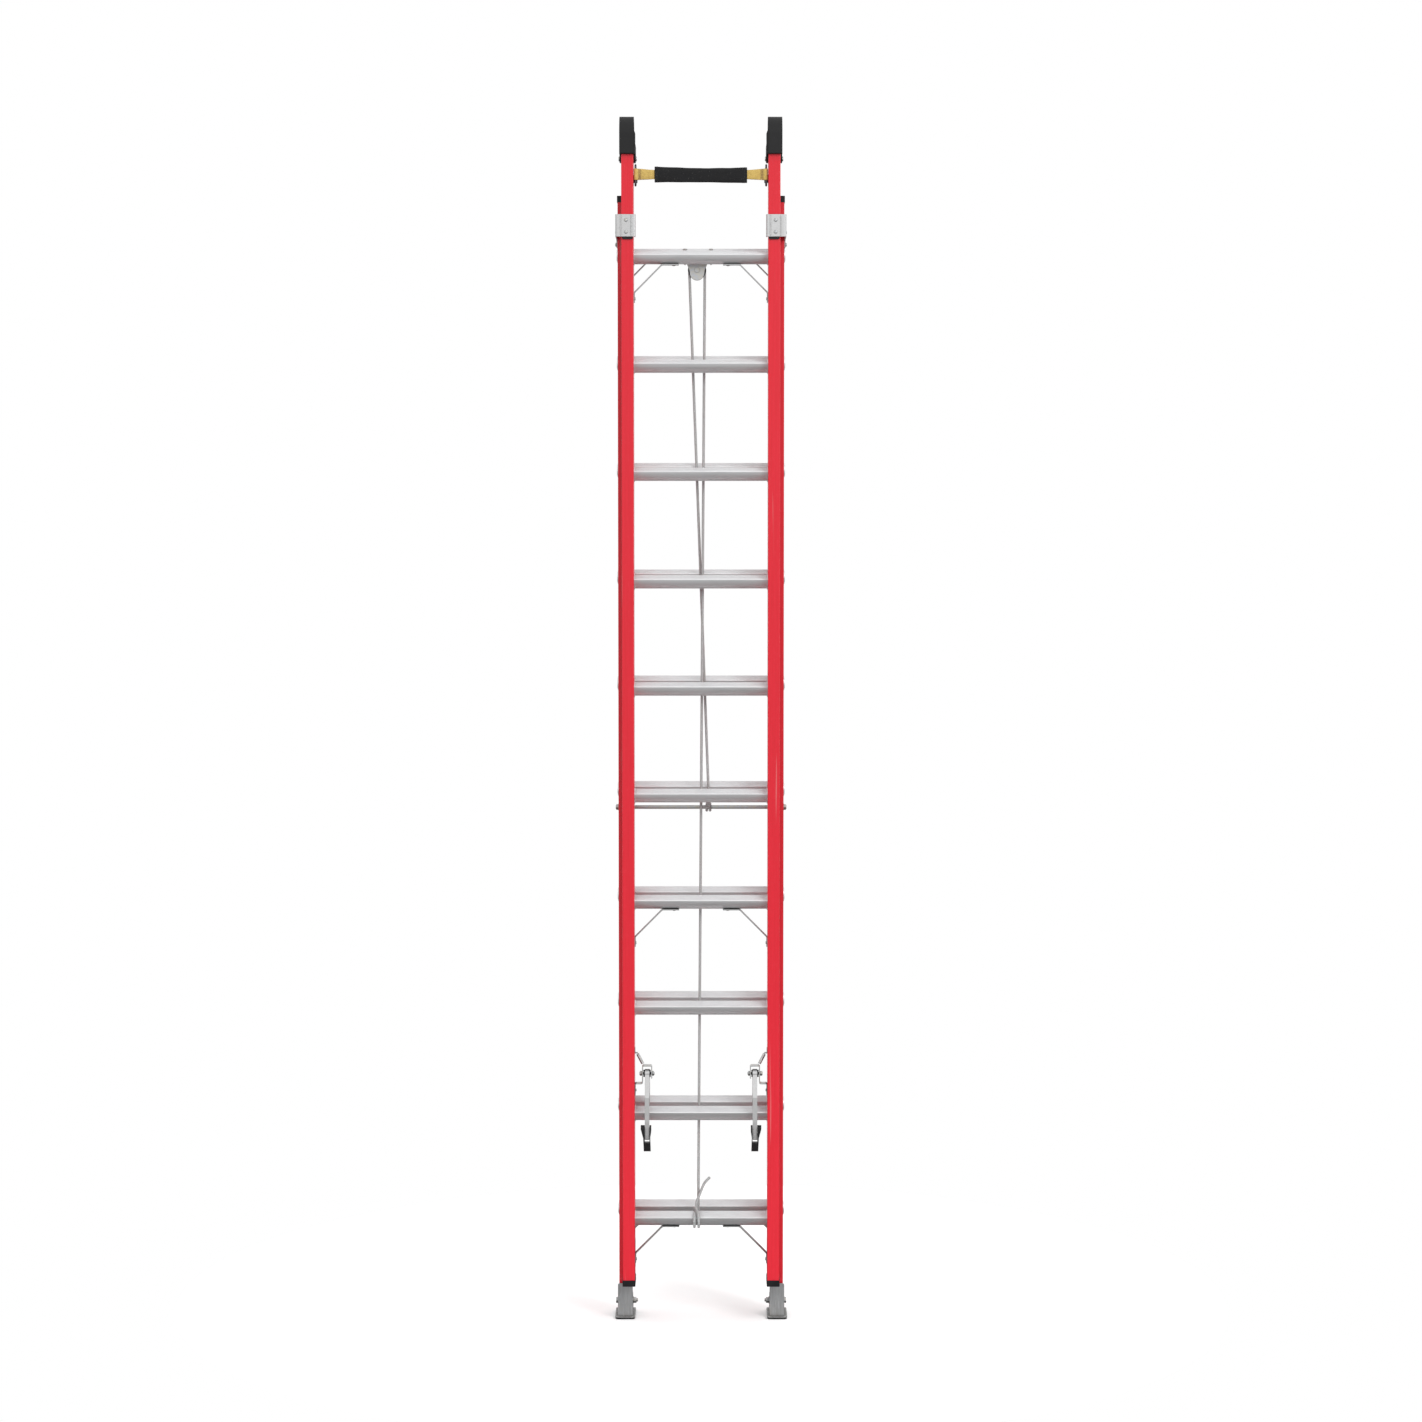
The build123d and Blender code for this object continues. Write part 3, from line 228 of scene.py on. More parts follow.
def shoe_metal():
    """Pressed aluminium plate, scratched upwards and dusty near the ground."""
    f = Finish("shoe_metal", Metallic=0.7)
    grain = f.noise((500, 500, 20), detail=3)
    scratch = f.range(f.noise((600, 90, 25), detail=2), 0.64, 0.7)
    near_ground = f.range(f.axis("Z"), 0.0, 0.09, 1.0, 0.0)
    dust = f.math("MULTIPLY", near_ground, f.noise((60, 60, 60), detail=4))
    colour = f.mix(f.range(grain, 0.3, 0.7), PLATE_DARK, PLATE)
    colour = f.mix(f.math("MULTIPLY", scratch, 0.5), colour, ALUMINIUM)
    colour = f.mix(f.range(dust, 0.25, 0.8, 0.0, 0.6), colour, DUST)
    # Painted shade: the colour darkens in corners and gaps.
    f.to("Base Color", f.mix(f.painted_crevice_shade(0.02), CREVICE_SHADE, colour))
    f.to("Roughness", f.range(dust, 0.1, 0.7, 0.42, 0.75))
    f.bump(f.math("SUBTRACT", grain, scratch), 0.3, 0.00015, f.rounded(0.0008))
    return f.material


def zinc_steel():
    """Zinc plate: pale, with faint yellow and blue clouds."""
    f = Finish("steel", Metallic=0.9)
    cloud = f.noise((120, 120, 120), detail=2)
    grain = f.noise((1500, 1500, 1500), detail=3)
    colour = f.mix(f.range(cloud, 0.35, 0.65), ZINC_BLUE, ZINC_YELLOW)
    colour = f.mix(f.range(grain, 0.3, 0.7, 0.0, 0.4), colour, CAST_DARK)
    # Painted shade: the colour darkens in corners and gaps.
    f.to("Base Color", f.mix(f.painted_crevice_shade(0.012), CREVICE_SHADE, colour))
    f.to("Roughness", f.range(grain, 0.2, 0.8, 0.28, 0.46))
    f.bump(grain, 0.2, 0.0001, f.rounded(0.0004))
    return f.material


def dark_steel():
    """Blackened wire and plate, bare where it rubs."""
    f = Finish("dark_steel", Metallic=0.8)
    grain = f.noise((700, 700, 700), detail=4)
    rub = f.range(f.noise((180, 180, 60), detail=3), 0.6, 0.72)
    f.to("Base Color", f.mix(f.math("MULTIPLY", rub, 0.6), BLACKENED, CAST_DARK))
    f.to("Roughness", f.range(grain, 0.2, 0.8, 0.36, 0.56))
    f.bump(grain, 0.3, 0.0001, f.rounded(0.0004))
    return f.material


def moulded(name, colour, worn, rough, cell):
    """Black moulded plastic or rubber with a leathery tool texture and greyed patches."""
    f = Finish(name, Metallic=0.0, Specular_IOR_Level=0.28)
    texture = f.cells((cell, cell, cell), "SMOOTH_F1")
    bloom = f.noise((35, 35, 35), detail=4)
    f.to("Base Color", f.mix(f.range(bloom, 0.45, 0.75, 0.0, 0.5), colour, worn))
    f.to("Roughness", f.range(bloom, 0.3, 0.7, rough - 0.08, rough + 0.1))
    f.bump(texture, 0.35, 0.0002, f.rounded(0.0007))
    return f.material


def webbing_cloth():
    """Tan webbing: a twill of thick yarns, with dirty patches."""
    f = Finish("webbing", Metallic=0.0, Sheen_Weight=0.25, Sheen_Roughness=0.5)
    twill = f.wave((560, 560, 1), "DIAGONAL")
    yarns = f.wave((0, 900, 1), "Y")
    dirt = f.noise((60, 60, 60), detail=4)
    colour = f.mix(f.range(twill, 0.1, 0.9), TAN_DARK, TAN)
    colour = f.mix(f.range(dirt, 0.5, 0.8, 0.0, 0.45), colour, TAN_DIRTY)
    f.to("Base Color", colour)
    f.to("Roughness", f.range(dirt, 0.3, 0.7, 0.72, 0.88))
    f.bump(f.math("ADD", twill, f.math("MULTIPLY", yarns, 0.5)), 0.7, 0.0003)
    return f.material


def sleeve_cloth():
    """Black woven cover: a plain weave with a dull sheen and pale lint."""
    f = Finish("foam", Metallic=0.0, Specular_IOR_Level=0.3, Sheen_Weight=0.06, Sheen_Roughness=0.4)
    warp = f.wave((820, 0, 1), "X")
    weft = f.wave((0, 820, 1), "Y")
    lint = f.range(f.noise((900, 900, 140), detail=2), 0.7, 0.76)
    cloud = f.noise((25, 25, 25), detail=3)
    weave = f.math("MULTIPLY", warp, weft)
    colour = f.mix(f.range(weave, 0.1, 0.8), SLEEVE_DARK, SLEEVE)
    colour = f.mix(f.range(cloud, 0.45, 0.75, 0.0, 0.35), colour, SLEEVE_GREY)
    f.to("Base Color", f.mix(f.math("MULTIPLY", lint, 0.3), colour, CHALK))
    f.to("Roughness", f.range(cloud, 0.3, 0.7, 0.7, 0.86))
    f.bump(weave, 0.6, 0.0003)
    return f.material


def thread(name, colour, dark):
    """Sewing thread: a tight twist along its length."""
    f = Finish(name, Metallic=0.0, Sheen_Weight=0.2)
    twist = f.noise((900, 900, 900), detail=2)
    f.to("Base Color", f.mix(f.range(twist, 0.35, 0.65), dark, colour))
    f.to("Roughness", f.range(twist, 0.3, 0.7, 0.6, 0.8))
    f.bump(twist, 0.5, 0.0002)
    return f.material


def rope_fibre():
    """Braided polyester rope: fine slanting fibres, and patches of grime."""
    f = Finish("rope", Metallic=0.0, Sheen_Weight=0.15, Sheen_Roughness=0.5)
    fibres = f.wave((2600, 900, 1), "DIAGONAL", warp=1.0)
    grime = f.noise((18, 18, 9), detail=4)
    fleck = f.noise((1400, 1400, 1400), detail=2)
    colour = f.mix(f.range(fibres, 0.2, 0.8), ROPE_DARK, ROPE)
    colour = f.mix(f.range(grime, 0.45, 0.75, 0.0, 0.5), colour, ROPE_GRIME)
    f.to("Base Color", f.mix(f.range(fleck, 0.55, 0.75, 0.0, 0.3), colour, ROPE_DARK))
    f.to("Roughness", f.range(fleck, 0.3, 0.7, 0.72, 0.9))
    f.bump(f.math("ADD", fibres, fleck), 0.5, 0.0002)
    return f.material


def matt_paint(name, colour, pale):
    """Matt paint with faint speckle."""
    f = Finish(name, Metallic=0.0, Specular_IOR_Level=0.0)
    speck = f.noise((6, 6, 6), detail=5)
    f.to("Base Color", f.mix(f.range(speck, 0.3, 0.7), colour, pale))
    f.to("Roughness", f.range(speck, 0.3, 0.7, 0.7, 0.85))
    return f.material


FLOOR = srgb(250, 250, 250)
FLOOR_LIGHT = srgb(253, 253, 253)
CARD_GREY = srgb(84, 84, 84)
CARD_LIGHT = srgb(92, 92, 92)
RED = srgb(212, 18, 42)
RED_DEEP = srgb(200, 10, 32)
RED_PALE = srgb(222, 54, 72)
CHALK = srgb(205, 196, 190)
ALUMINIUM = srgb(232, 233, 234)
ALUMINIUM_DULL = srgb(218, 219, 220)
ALUMINIUM_GREY = srgb(196, 198, 200)
CAST = srgb(204, 204, 204)
CAST_DARK = srgb(170, 170, 170)
PLATE = srgb(182, 183, 184)
PLATE_DARK = srgb(158, 159, 160)
DUST = srgb(150, 144, 136)
# The colour of the painted shade in corners and gaps.
CREVICE_SHADE = srgb(62, 61, 60)
# A darker aluminium grey for the braces' painted shade.
BRACE_SHADE_GREY = srgb(140, 141, 142)
ZINC_BLUE = srgb(184, 188, 194)
ZINC_YELLOW = srgb(192, 189, 178)
BLACKENED = srgb(72, 73, 76)
PLASTIC = srgb(20, 20, 21)
PLASTIC_WORN = srgb(38, 38, 40)
RUBBER = srgb(22, 22, 23)
RUBBER_WORN = srgb(36, 36, 37)
TAN = srgb(220, 190, 106)
TAN_DARK = srgb(186, 154, 80)
TAN_DIRTY = srgb(150, 118, 62)
SLEEVE = srgb(26, 26, 28)
SLEEVE_DARK = srgb(14, 14, 15)
SLEEVE_GREY = srgb(40, 41, 43)
ROPE = srgb(194, 196, 196)
ROPE_DARK = srgb(124, 126, 127)
ROPE_GRIME = srgb(150, 147, 141)

MATERIALS = {
    "fiberglass": fibreglass(),
    "aluminium": extruded_aluminium("aluminium", ALUMINIUM, ALUMINIUM_DULL, ALUMINIUM_GREY),
    "cast_aluminium": cast_aluminium(),
    "shoe_metal": shoe_metal(),
    "steel": zinc_steel(),
    "dark_steel": dark_steel(),
    "black_plastic": moulded("black_plastic", PLASTIC, PLASTIC_WORN, 0.48, 900),
    "rubber": moulded("rubber", RUBBER, RUBBER_WORN, 0.62, 1300),
    "foam": sleeve_cloth(),
    "webbing": webbing_cloth(),
    "rope": rope_fibre(),
}
# Painted shade: the braces are a darker copy of the rung aluminium.
SHADED_BRACE_METAL = extruded_aluminium("brace_aluminium_shaded", CAST_DARK, PLATE_DARK, BRACE_SHADE_GREY)
BROWN_THREAD = thread("brown_thread", srgb(120, 78, 62), srgb(82, 50, 40))
BLACK_THREAD = thread("black_thread", srgb(46, 46, 48), srgb(20, 20, 21))


def finish_frame():
    """Gives each CAD node the material of its slot in the record; the braces get a darker copy of
    the aluminium, which paints shade on them.
    """
    for part in frame["record"]["subparts"]:
        name = part["node"]
        material = SHADED_BRACE_METAL if name.endswith("_braces") else MATERIALS[part["material_slot"]]
        slots = frame["nodes"][name].data.materials
        slots.clear()
        slots.append(material)


# Meshes --------------------------------------------------------------------------------


def mesh_piece(name, vertices, faces, corner_uvs, material):
    """A smooth-shaded object from vertices, faces and a UV for each face corner."""
    mesh = bpy.data.meshes.new(name)
    mesh.from_pydata([tuple(v) for v in vertices], [], faces)
    layer = mesh.uv_layers.new(name="UVMap")
    for corner, uv in zip(layer.data, corner_uvs):
        corner.uv = uv
    mesh.shade_smooth()
    mesh.materials.append(material)
    piece = bpy.data.objects.new(name, mesh)
    bpy.context.scene.collection.objects.link(piece)
    return piece


def lengths_along(points):
    """The distance along the line from the first point to each point."""
    run = [0.0]
    for before, after in zip(points, points[1:]):
        run.append(run[-1] + (after - before).length)
    return run


def direction_at(points, index):
    """The line's direction at one of its points, from the points on either side."""
    before = points[max(0, index - 1)]
    after = points[min(len(points) - 1, index + 1)]
    return (after - before).normalized()


def skin(name, rings, along, girth, material):
    """A closed surface through rings of points, with its two ends capped."""
    around = len(rings[0])
    vertices = [point for ring in rings for point in ring]
    faces, uvs = [], []
    for row in range(len(rings) - 1):
        near, far = along[row], along[row + 1]
        low, high = row * around, (row + 1) * around
        for column in range(around):
            after = (column + 1) % around
            faces.append((low + column, low + after, high + after, high + column))
            left, right = girth * column / around, girth * (column + 1) / around
            uvs += [(left, near), (right, near), (right, far), (left, far)]
    last = (len(rings) - 1) * around
    faces.append(tuple(reversed(range(around))))
    uvs += [(0.0, along[0])] * around
    faces.append(tuple(last + column for column in range(around)))
    uvs += [(0.0, along[-1])] * around
    return mesh_piece(name, vertices, faces, uvs, material)


# Rope ----------------------------------------------------------------------------------

ROPE_RADIUS = 4.0 * MM
RING_SPACING = 2.0 * MM
RING_POINTS = 14
STRANDS = 8
BRAID_PITCH = 17.0 * MM
BRAID_RELIEF = 0.17
CUT_END_TAPER = 0.25
CURVE_STEPS = 24
NURBS_ORDER = 3

# Every place on the rope's route is in millimetres.
SHEAVE = (-11.0, 8.0, 3012.0)
SHEAVE_PITCH_RADIUS = 22.0
HAUL_LEAN = 2.1
HALF_CORNER = 22.5
SHEAVE_CORNERS = (202.5 + HAUL_LEAN, 157.5, 112.5, 67.5, 22.5)
TIE_ROD = (45.0, 1479.7)
ROD_CORNER_RADIUS = 9.6 / math.cos(math.radians(HALF_CORNER))
ROD_TURN_X = (25.8, 16.4)
FLY_RUNG = (-45.0, 313.8)
RUNG_LEAN = math.radians(14.5)
HITCH_X = (-6.7, -19.3)

LIFT_TOP = (11.0, 8.0, 3012.0)
LIFT_FOOT = (-8.2, -17.4, 331.0)
LIFT_ROUTE = [LIFT_TOP, (10.7, 7.5, 2964.0), (-7.9, -16.9, 379.0), LIFT_FOOT]
CUT_END_ROUTE = [
    (3.0, 31.0, 1481.5),
    (9.0, 29.0, 1480.5),
    (17.0, 28.2, 1479.0),
    (23.0, 32.0, 1483.0),
]
HAUL_ROUTE = [
    (21.4, 29.0, 1497.0),
    (21.2, 18.6, 1524.0),
    (19.8, 16.8, 1570.0),
    (-31.2, 8.3, 2964.0),
]
TAIL_ROUTE = [
    (-13.2, -27.0, 345.0),
    (-9.0, -27.4, 357.0),
    (-2.6, -26.6, 371.0),
    (3.9, -25.0, 389.0),
    (12.4, -23.6, 405.0),
    (25.6, -22.4, 416.5),
]

# One turn round the rung: across the tread, rearwards, and above the tread.
RUNG_TURN = [
    (28.0, -12.0),
    (21.0, -27.0),
    (8.0, -38.3),
    (-8.0, -38.3),
    (-21.0, -27.0),
    (-28.0, -12.0),
    (-27.5, 3.0),
]


def metres(place):
    return tuple(value * MM for value in place)


def sheave_turn():
    """The corners of an octagon round the sheave's pitch circle, from the hauling side."""
    radius = SHEAVE_PITCH_RADIUS / math.cos(math.radians(HALF_CORNER))
    corners = []
    for angle in SHEAVE_CORNERS:
        turn = math.radians(angle)
        x = SHEAVE[0] + radius * math.cos(turn)
        z = SHEAVE[2] + radius * math.sin(turn)
        corners.append((x, SHEAVE[1], z))
    return corners


def rod_point(x, angle, radius=ROD_CORNER_RADIUS):
    """A point near the tie rod; angle 0 is in front of it and 90 below it."""
    turn = math.radians(angle)
    return (x, TIE_ROD[0] - radius * math.cos(turn), TIE_ROD[1] - radius * math.sin(turn))


def rod_hitch():
    """The clove hitch round the tie rod, from the rope's cut end to its standing part."""
    right, left = ROD_TURN_X
    first = [rod_point(right, angle) for angle in (292.5, 247.5, 202.5, 157.5, 112.5, 67.5)]
    across = [
        rod_point(25.0, 22.5, ROD_CORNER_RADIUS + 1.0),
        rod_point(21.5, -22.5, 15.5),
        rod_point(18.0, -67.5, 13.0),
    ]
    second = [rod_point(left, angle) for angle in (247.5, 202.5, 157.5, 112.5, 67.5)]
    rise = [rod_point(16.6, 22.5), (17.6, 33.5, 1488.0)]
    return CUT_END_ROUTE + first + across + second + rise


def rung_point(x, across, above):
    """A point near the lowest fly rung: across its tread, rearwards, and above it."""
    y = FLY_RUNG[0] + across * math.cos(RUNG_LEAN) - above * math.sin(RUNG_LEAN)
    z = FLY_RUNG[1] + across * math.sin(RUNG_LEAN) + above * math.cos(RUNG_LEAN)
    return (x, y, z)


def rung_hitch():
    """The clove hitch round the lowest fly rung, from the standing part to the short tail."""
    right, left = HITCH_X
    down = [LIFT_FOOT, rung_point(-7.2, 28.8, 1.0)]
    first = [rung_point(right, *place) for place in RUNG_TURN]
    across = [
        rung_point(-7.6, -19.0, 9.5),
        rung_point(-12.0, -4.0, 14.5),
        rung_point(-16.5, 12.0, 14.5),
        rung_point(left, 25.0, 8.0),
    ]
    second = [rung_point(left, *place) for place in RUNG_TURN]
    under = [
        rung_point(-18.8, -19.0, 6.4),
        rung_point(-17.0, -5.0, 5.6),
        rung_point(-14.6, 8.0, 6.0),
        rung_point(-13.2, 18.0, 10.5),
        rung_point(-13.6, 22.5, 18.0),
    ]
    return down + first + across + second + under + TAIL_ROUTE


def spline_points(name, route):
    """Points along the smooth NURBS curve whose control points are the route, in metres."""
    curve = bpy.data.curves.new(name + "_route", "CURVE")
    curve.dimensions = "3D"
    curve.resolution_u = CURVE_STEPS
    spline = curve.splines.new("NURBS")
    spline.points.add(len(route) - 1)
    for point, place in zip(spline.points, route):
        point.co = (*metres(place), 1.0)
    spline.order_u = NURBS_ORDER
    spline.use_endpoint_u = True
    holder = bpy.data.objects.new(name + "_route", curve)
    bpy.context.scene.collection.objects.link(holder)
    bpy.context.view_layer.update()
    mesh = bpy.data.meshes.new_from_object(holder)
    points = [vertex.co.copy() for vertex in mesh.vertices]
    bpy.data.objects.remove(holder)
    bpy.data.meshes.remove(mesh)
    return points


def evenly(points, spacing):
    """The same line, with its points about spacing apart."""
    run = lengths_along(points)
    count = max(2, round(run[-1] / spacing) + 1)
    result, index = [], 0
    for number in range(count):
        target = run[-1] * number / (count - 1)
        while index < len(run) - 2 and run[index + 1] < target:
            index += 1
        span = run[index + 1] - run[index]
        share = (target - run[index]) / span if span else 0.0
        result.append(points[index].lerp(points[index + 1], min(1.0, max(0.0, share))))
    return result


def frames_along(centres):
    """Two directions square to the line at each point, turning as little as possible."""
    side = Vector((1, 0, 0))
    frames = []
    for index in range(len(centres)):
        tangent = direction_at(centres, index)
        side = side - tangent * side.dot(tangent)
        side.normalize()
        frames.append((side.copy(), tangent.cross(side)))
    return frames


def braid_height(angle, distance):
    """How far the braid's surface stands out, from 0 to 1, as two crossing sets of strands."""
    around = STRANDS * angle / 2
    forward = STRANDS * math.pi * distance / BRAID_PITCH / 2
    return math.sqrt(abs(math.sin(around + forward) * math.sin(around - forward)))


def braided(name, route):
    """A rope along a route, with the braid in its surface, and the line it follows."""
    centres = evenly(spline_points(name, route), RING_SPACING)
    run = lengths_along(centres)
    rings = []
    for centre, (side, up), distance in zip(centres, frames_along(centres), run):
        ring = []
        from_end = min(distance, run[-1] - distance)
        taper = 1.0 - CUT_END_TAPER * max(0.0, 1.0 - from_end / RING_SPACING)
        for number in range(RING_POINTS):
            angle = 2 * math.pi * number / RING_POINTS
            relief = 1.0 - BRAID_RELIEF * (1.0 - braid_height(angle, distance))
            reach = ROPE_RADIUS * relief * taper
            ring.append(centre + side * (reach * math.cos(angle)) + up * (reach * math.sin(angle)))
        rings.append(ring)
    girth = 2 * math.pi * ROPE_RADIUS
    rope = skin(name, rings, run, girth, MATERIALS["rope"])
    return rope, [tuple(point) for point in centres]


def make_rope():
    """The haul side with its knot, the lift side, and the hitch."""
    route = rod_hitch() + HAUL_ROUTE + sheave_turn() + [LIFT_TOP]
    haul, line = braided("haul_rope", route)
    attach(haul, "base")
    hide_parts("rope_haul")

    lift, line = braided("lift_rope", LIFT_ROUTE)
    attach(lift, "base")
    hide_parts("rope_lift")
    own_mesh(lift)

    hitch, line = braided("hitch_rope", rung_hitch())
    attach(hitch, "fly")
    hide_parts("rope_hitch")


# Pole strap ----------------------------------------------------------------------------

STRAP_LOW, STRAP_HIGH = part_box("pole_strap")
SLEEVE_LOW, SLEEVE_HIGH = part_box("strap_sleeve")
STRAP_Y = (STRAP_LOW.y + STRAP_HIGH.y) / 2
STRAP_Z = (STRAP_LOW.z + STRAP_HIGH.z) / 2
LINK_X = STRAP_HIGH.x - 5.55 * MM
LINK_WIRE = 2.75 * MM
LINK_SLACK = 0.3 * MM
BAND = 1.8 * MM
BAND_HEIGHT_LINK = 32.5 * MM
BAND_HEIGHT_SLEEVE = 25.5 * MM
BAND_CLOSES = 16.0 * MM
PLY_GAP = 0.15 * MM
BAND_TUCK = 14.0 * MM
BAND_SAG = 1.8 * MM
BAND_RIPPLE = 0.5 * MM
SELVEDGE = (-1.0, -0.9, -0.45, 0.0, 0.45, 0.9)
SLEEVE_HALF = SLEEVE_HIGH.x
SLEEVE_DEPTH = SLEEVE_HIGH.y - SLEEVE_LOW.y
SLEEVE_HEIGHT = SLEEVE_HIGH.z - SLEEVE_LOW.z
TURN_STEPS = 9
PLY_STEP = 3.0 * MM


def wrap_radius():
    """From the link bar's centre to the middle of the webbing that goes round it."""
    return LINK_WIRE + BAND / 2 + LINK_SLACK


def ply_offset(x):
    """Half the gap between the plies' middles at x: open at the bar, closed by the stitching."""
    closed = BAND / 2 + PLY_GAP
    share = min(1.0, max(0.0, (LINK_X - abs(x)) / BAND_CLOSES))
    smooth = share * share * (3 - 2 * share)
    return wrap_radius() + (closed - wrap_radius()) * smooth


def band_end():
    """From inside the sleeve, along the back to the right link bar and half round it."""
    inner = SLEEVE_HALF - BAND_TUCK
    steps = round((LINK_X - inner) / PLY_STEP)
    points = []
    for number in range(steps):
        x = inner + (LINK_X - inner) * number / steps
        points.append((x, ply_offset(x)))
    for number in range(TURN_STEPS):
        angle = math.pi * number / (TURN_STEPS - 1)
        x = LINK_X + wrap_radius() * math.sin(angle)
        points.append((x, wrap_radius() * math.cos(angle)))
    return points


def band_line():
    """The webbing's middle line seen from above: back ply, bar, front ply, bar, back ply."""
    left = [(-x, y) for x, y in band_end()]
    steps = round(2 * LINK_X / PLY_STEP)
    front = []
    for number in range(1, steps):
        x = -LINK_X + 2 * LINK_X * number / steps
        front.append((x, -ply_offset(x)))
    right = band_end()[::-1]
    return [Vector((x, STRAP_Y + y, 0.0)) for x, y in left + front + right]


def band_height(x):
    """The webbing's height at x: it is gathered a little where it goes into the sleeve."""
    share = min(1.0, max(0.0, (LINK_X - abs(x)) / (LINK_X - SLEEVE_HALF)))
    return BAND_HEIGHT_LINK + (BAND_HEIGHT_SLEEVE - BAND_HEIGHT_LINK) * share


def band_drop(x):
    """The slight sag of the strap between its links."""
    return -BAND_SAG * math.cos(math.pi / 2 * x / LINK_X)


def band_section(half_height, half_thick, centre, normal):
    """A flat band's section, with selvedges that come to an edge."""
    shape = [(height, 0.0 if height == -1.0 else 1.0) for height in SELVEDGE]
    shape += [(-height, -out) for height, out in shape]
    return [
        centre + normal * (half_thick * out) + Vector((0, 0, half_height * height))
        for height, out in shape
    ]


def make_webbing():
    """The webbing, from inside the sleeve round each link bar and across the front."""
    line = band_line()
    rings = []
    for index, point in enumerate(line):
        tangent = direction_at(line, index)
        normal = Vector((-tangent.y, tangent.x, 0))
        ripple = BAND_RIPPLE * noise.noise(Vector((point.x * 40, point.y * 90, 3.1)))
        centre = Vector((point.x, point.y, STRAP_Z + band_drop(point.x) + ripple))
        rings.append(band_section(band_height(point.x) / 2, BAND / 2, centre, normal))
    girth = 2 * BAND_HEIGHT_LINK
    run = lengths_along(line)
    strap = skin("strap_webbing", rings, run, girth, MATERIALS["webbing"])
    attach(strap, "fly")
    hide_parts("pole_strap")


# Stitching -----------------------------------------------------------------------------

THREAD_SIDES = 6
THREAD_RINGS = 5
TACK_COLUMNS = 5
TACK_ROWS = 9
TACK_START = 8.5 * MM
TACK_PITCH = 1.7 * MM
TACK_MARGIN = 3.0 * MM
TACK_THREAD = 0.6 * MM


def stitch(start, end, out, radius):
    """One stitch: a short thread that bows out of the cloth between two holes."""
    across = (end - start).normalized().cross(out)
    rings = []
    for number in range(THREAD_RINGS):
        share = number / (THREAD_RINGS - 1)
        bow = math.sin(math.pi * share)
        centre = start.lerp(end, share) + out * (radius * (1.1 * bow - 0.5))
        width = radius * (0.45 + 0.55 * bow)
        ring = []
        for corner in range(THREAD_SIDES):
            angle = 2 * math.pi * corner / THREAD_SIDES
            reach = across * math.cos(angle) + out * math.sin(angle)
            ring.append(centre + reach * width)
        rings.append(ring)
    return rings


def threads(name, stitches, radius, material):
    """All the stitches of one seam as one piece; each stitch is (start, end, outward)."""
    vertices, faces, uvs = [], [], []
    sides = range(THREAD_SIDES)
    for start, end, out in stitches:
        first = len(vertices)
        rings = stitch(start, end, out, radius)
        vertices += [point for ring in rings for point in ring]
        for row in range(len(rings) - 1):
            low = first + row * THREAD_SIDES
            high = low + THREAD_SIDES
            for corner in sides:
                after = (corner + 1) % THREAD_SIDES
                faces.append((low + corner, low + after, high + after, high + corner))
                uvs += [(0, row), (1, row), (1, row + 1), (0, row + 1)]
        last = first + (len(rings) - 1) * THREAD_SIDES
        faces.append(tuple(first + corner for corner in reversed(sides)))
        faces.append(tuple(last + corner for corner in sides))
        uvs += [(0, 0)] * (2 * THREAD_SIDES)
    return mesh_piece(name, vertices, faces, uvs, material)


def make_strap_stitching():
    """Bar tacks beside each link, through both plies, seen on the front and the back."""
    stitches = []
    for side in (-1, 1):
        for column in range(TACK_COLUMNS):
            x = LINK_X - TACK_START - TACK_PITCH * column
            height = band_height(x) - TACK_MARGIN
            pitch = height / TACK_ROWS
            for face in (-1, 1):
                out = Vector((0, face, 0))
                y = STRAP_Y + face * (ply_offset(x) + BAND / 2)
                for number in range(TACK_ROWS):
                    z = STRAP_Z + band_drop(x) - height / 2 + pitch * (number + 0.12)
                    low = Vector((side * x, y, z))
                    high = Vector((side * x, y, z + pitch * 0.8))
                    stitches.append((low, high, out))
    seam = threads("strap_stitching", stitches, TACK_THREAD, BROWN_THREAD)
    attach(seam, "fly")


# Sleeve --------------------------------------------------------------------------------

SLEEVE_STEP = 2.5 * MM
SLEEVE_POINTS = 44
SLEEVE_END = SLEEVE_HALF - 1.5 * MM
SLEEVE_SQUARENESS = 0.62
MIDDLE_HEIGHT = 0.905
MIDDLE_DEPTH = 0.93
FOLD = 0.9 * MM
CREASE = 0.55 * MM
SLEEVE_DROP = 0.6 * MM
SLEEVE_TILT = 1.1 * MM
SEAM_THREAD = 0.5 * MM
SEAM_PITCH = 3.6 * MM
SEAM_ANGLE = math.radians(128)
SEAM_MARGIN = 9.0 * MM
END_SEAM = 8.0 * MM

# Each hem: how far inwards from the sleeve's end, and how far under its skin.
HEM = ((4.0 * MM, 4.6 * MM), (1.6 * MM, 3.4 * MM), (-0.9 * MM, 2.0 * MM), (-0.8 * MM, 0.8 * MM))


def rounded_power(value):
    """A sine or cosine drawn towards its ends, which makes a circle into a rounded box."""
    return math.copysign(abs(value) ** SLEEVE_SQUARENESS, value)


def sleeve_size(x):
    """Half depth and half height of the sleeve at x: fuller at its ends than in the middle."""
    share = (x / SLEEVE_HALF) ** 2
    half_height = SLEEVE_HEIGHT / 2 * (MIDDLE_HEIGHT + (1 - MIDDLE_HEIGHT) * share)
    half_depth = SLEEVE_DEPTH / 2 * (MIDDLE_DEPTH + (1 - MIDDLE_DEPTH) * share)
    return half_depth, half_height


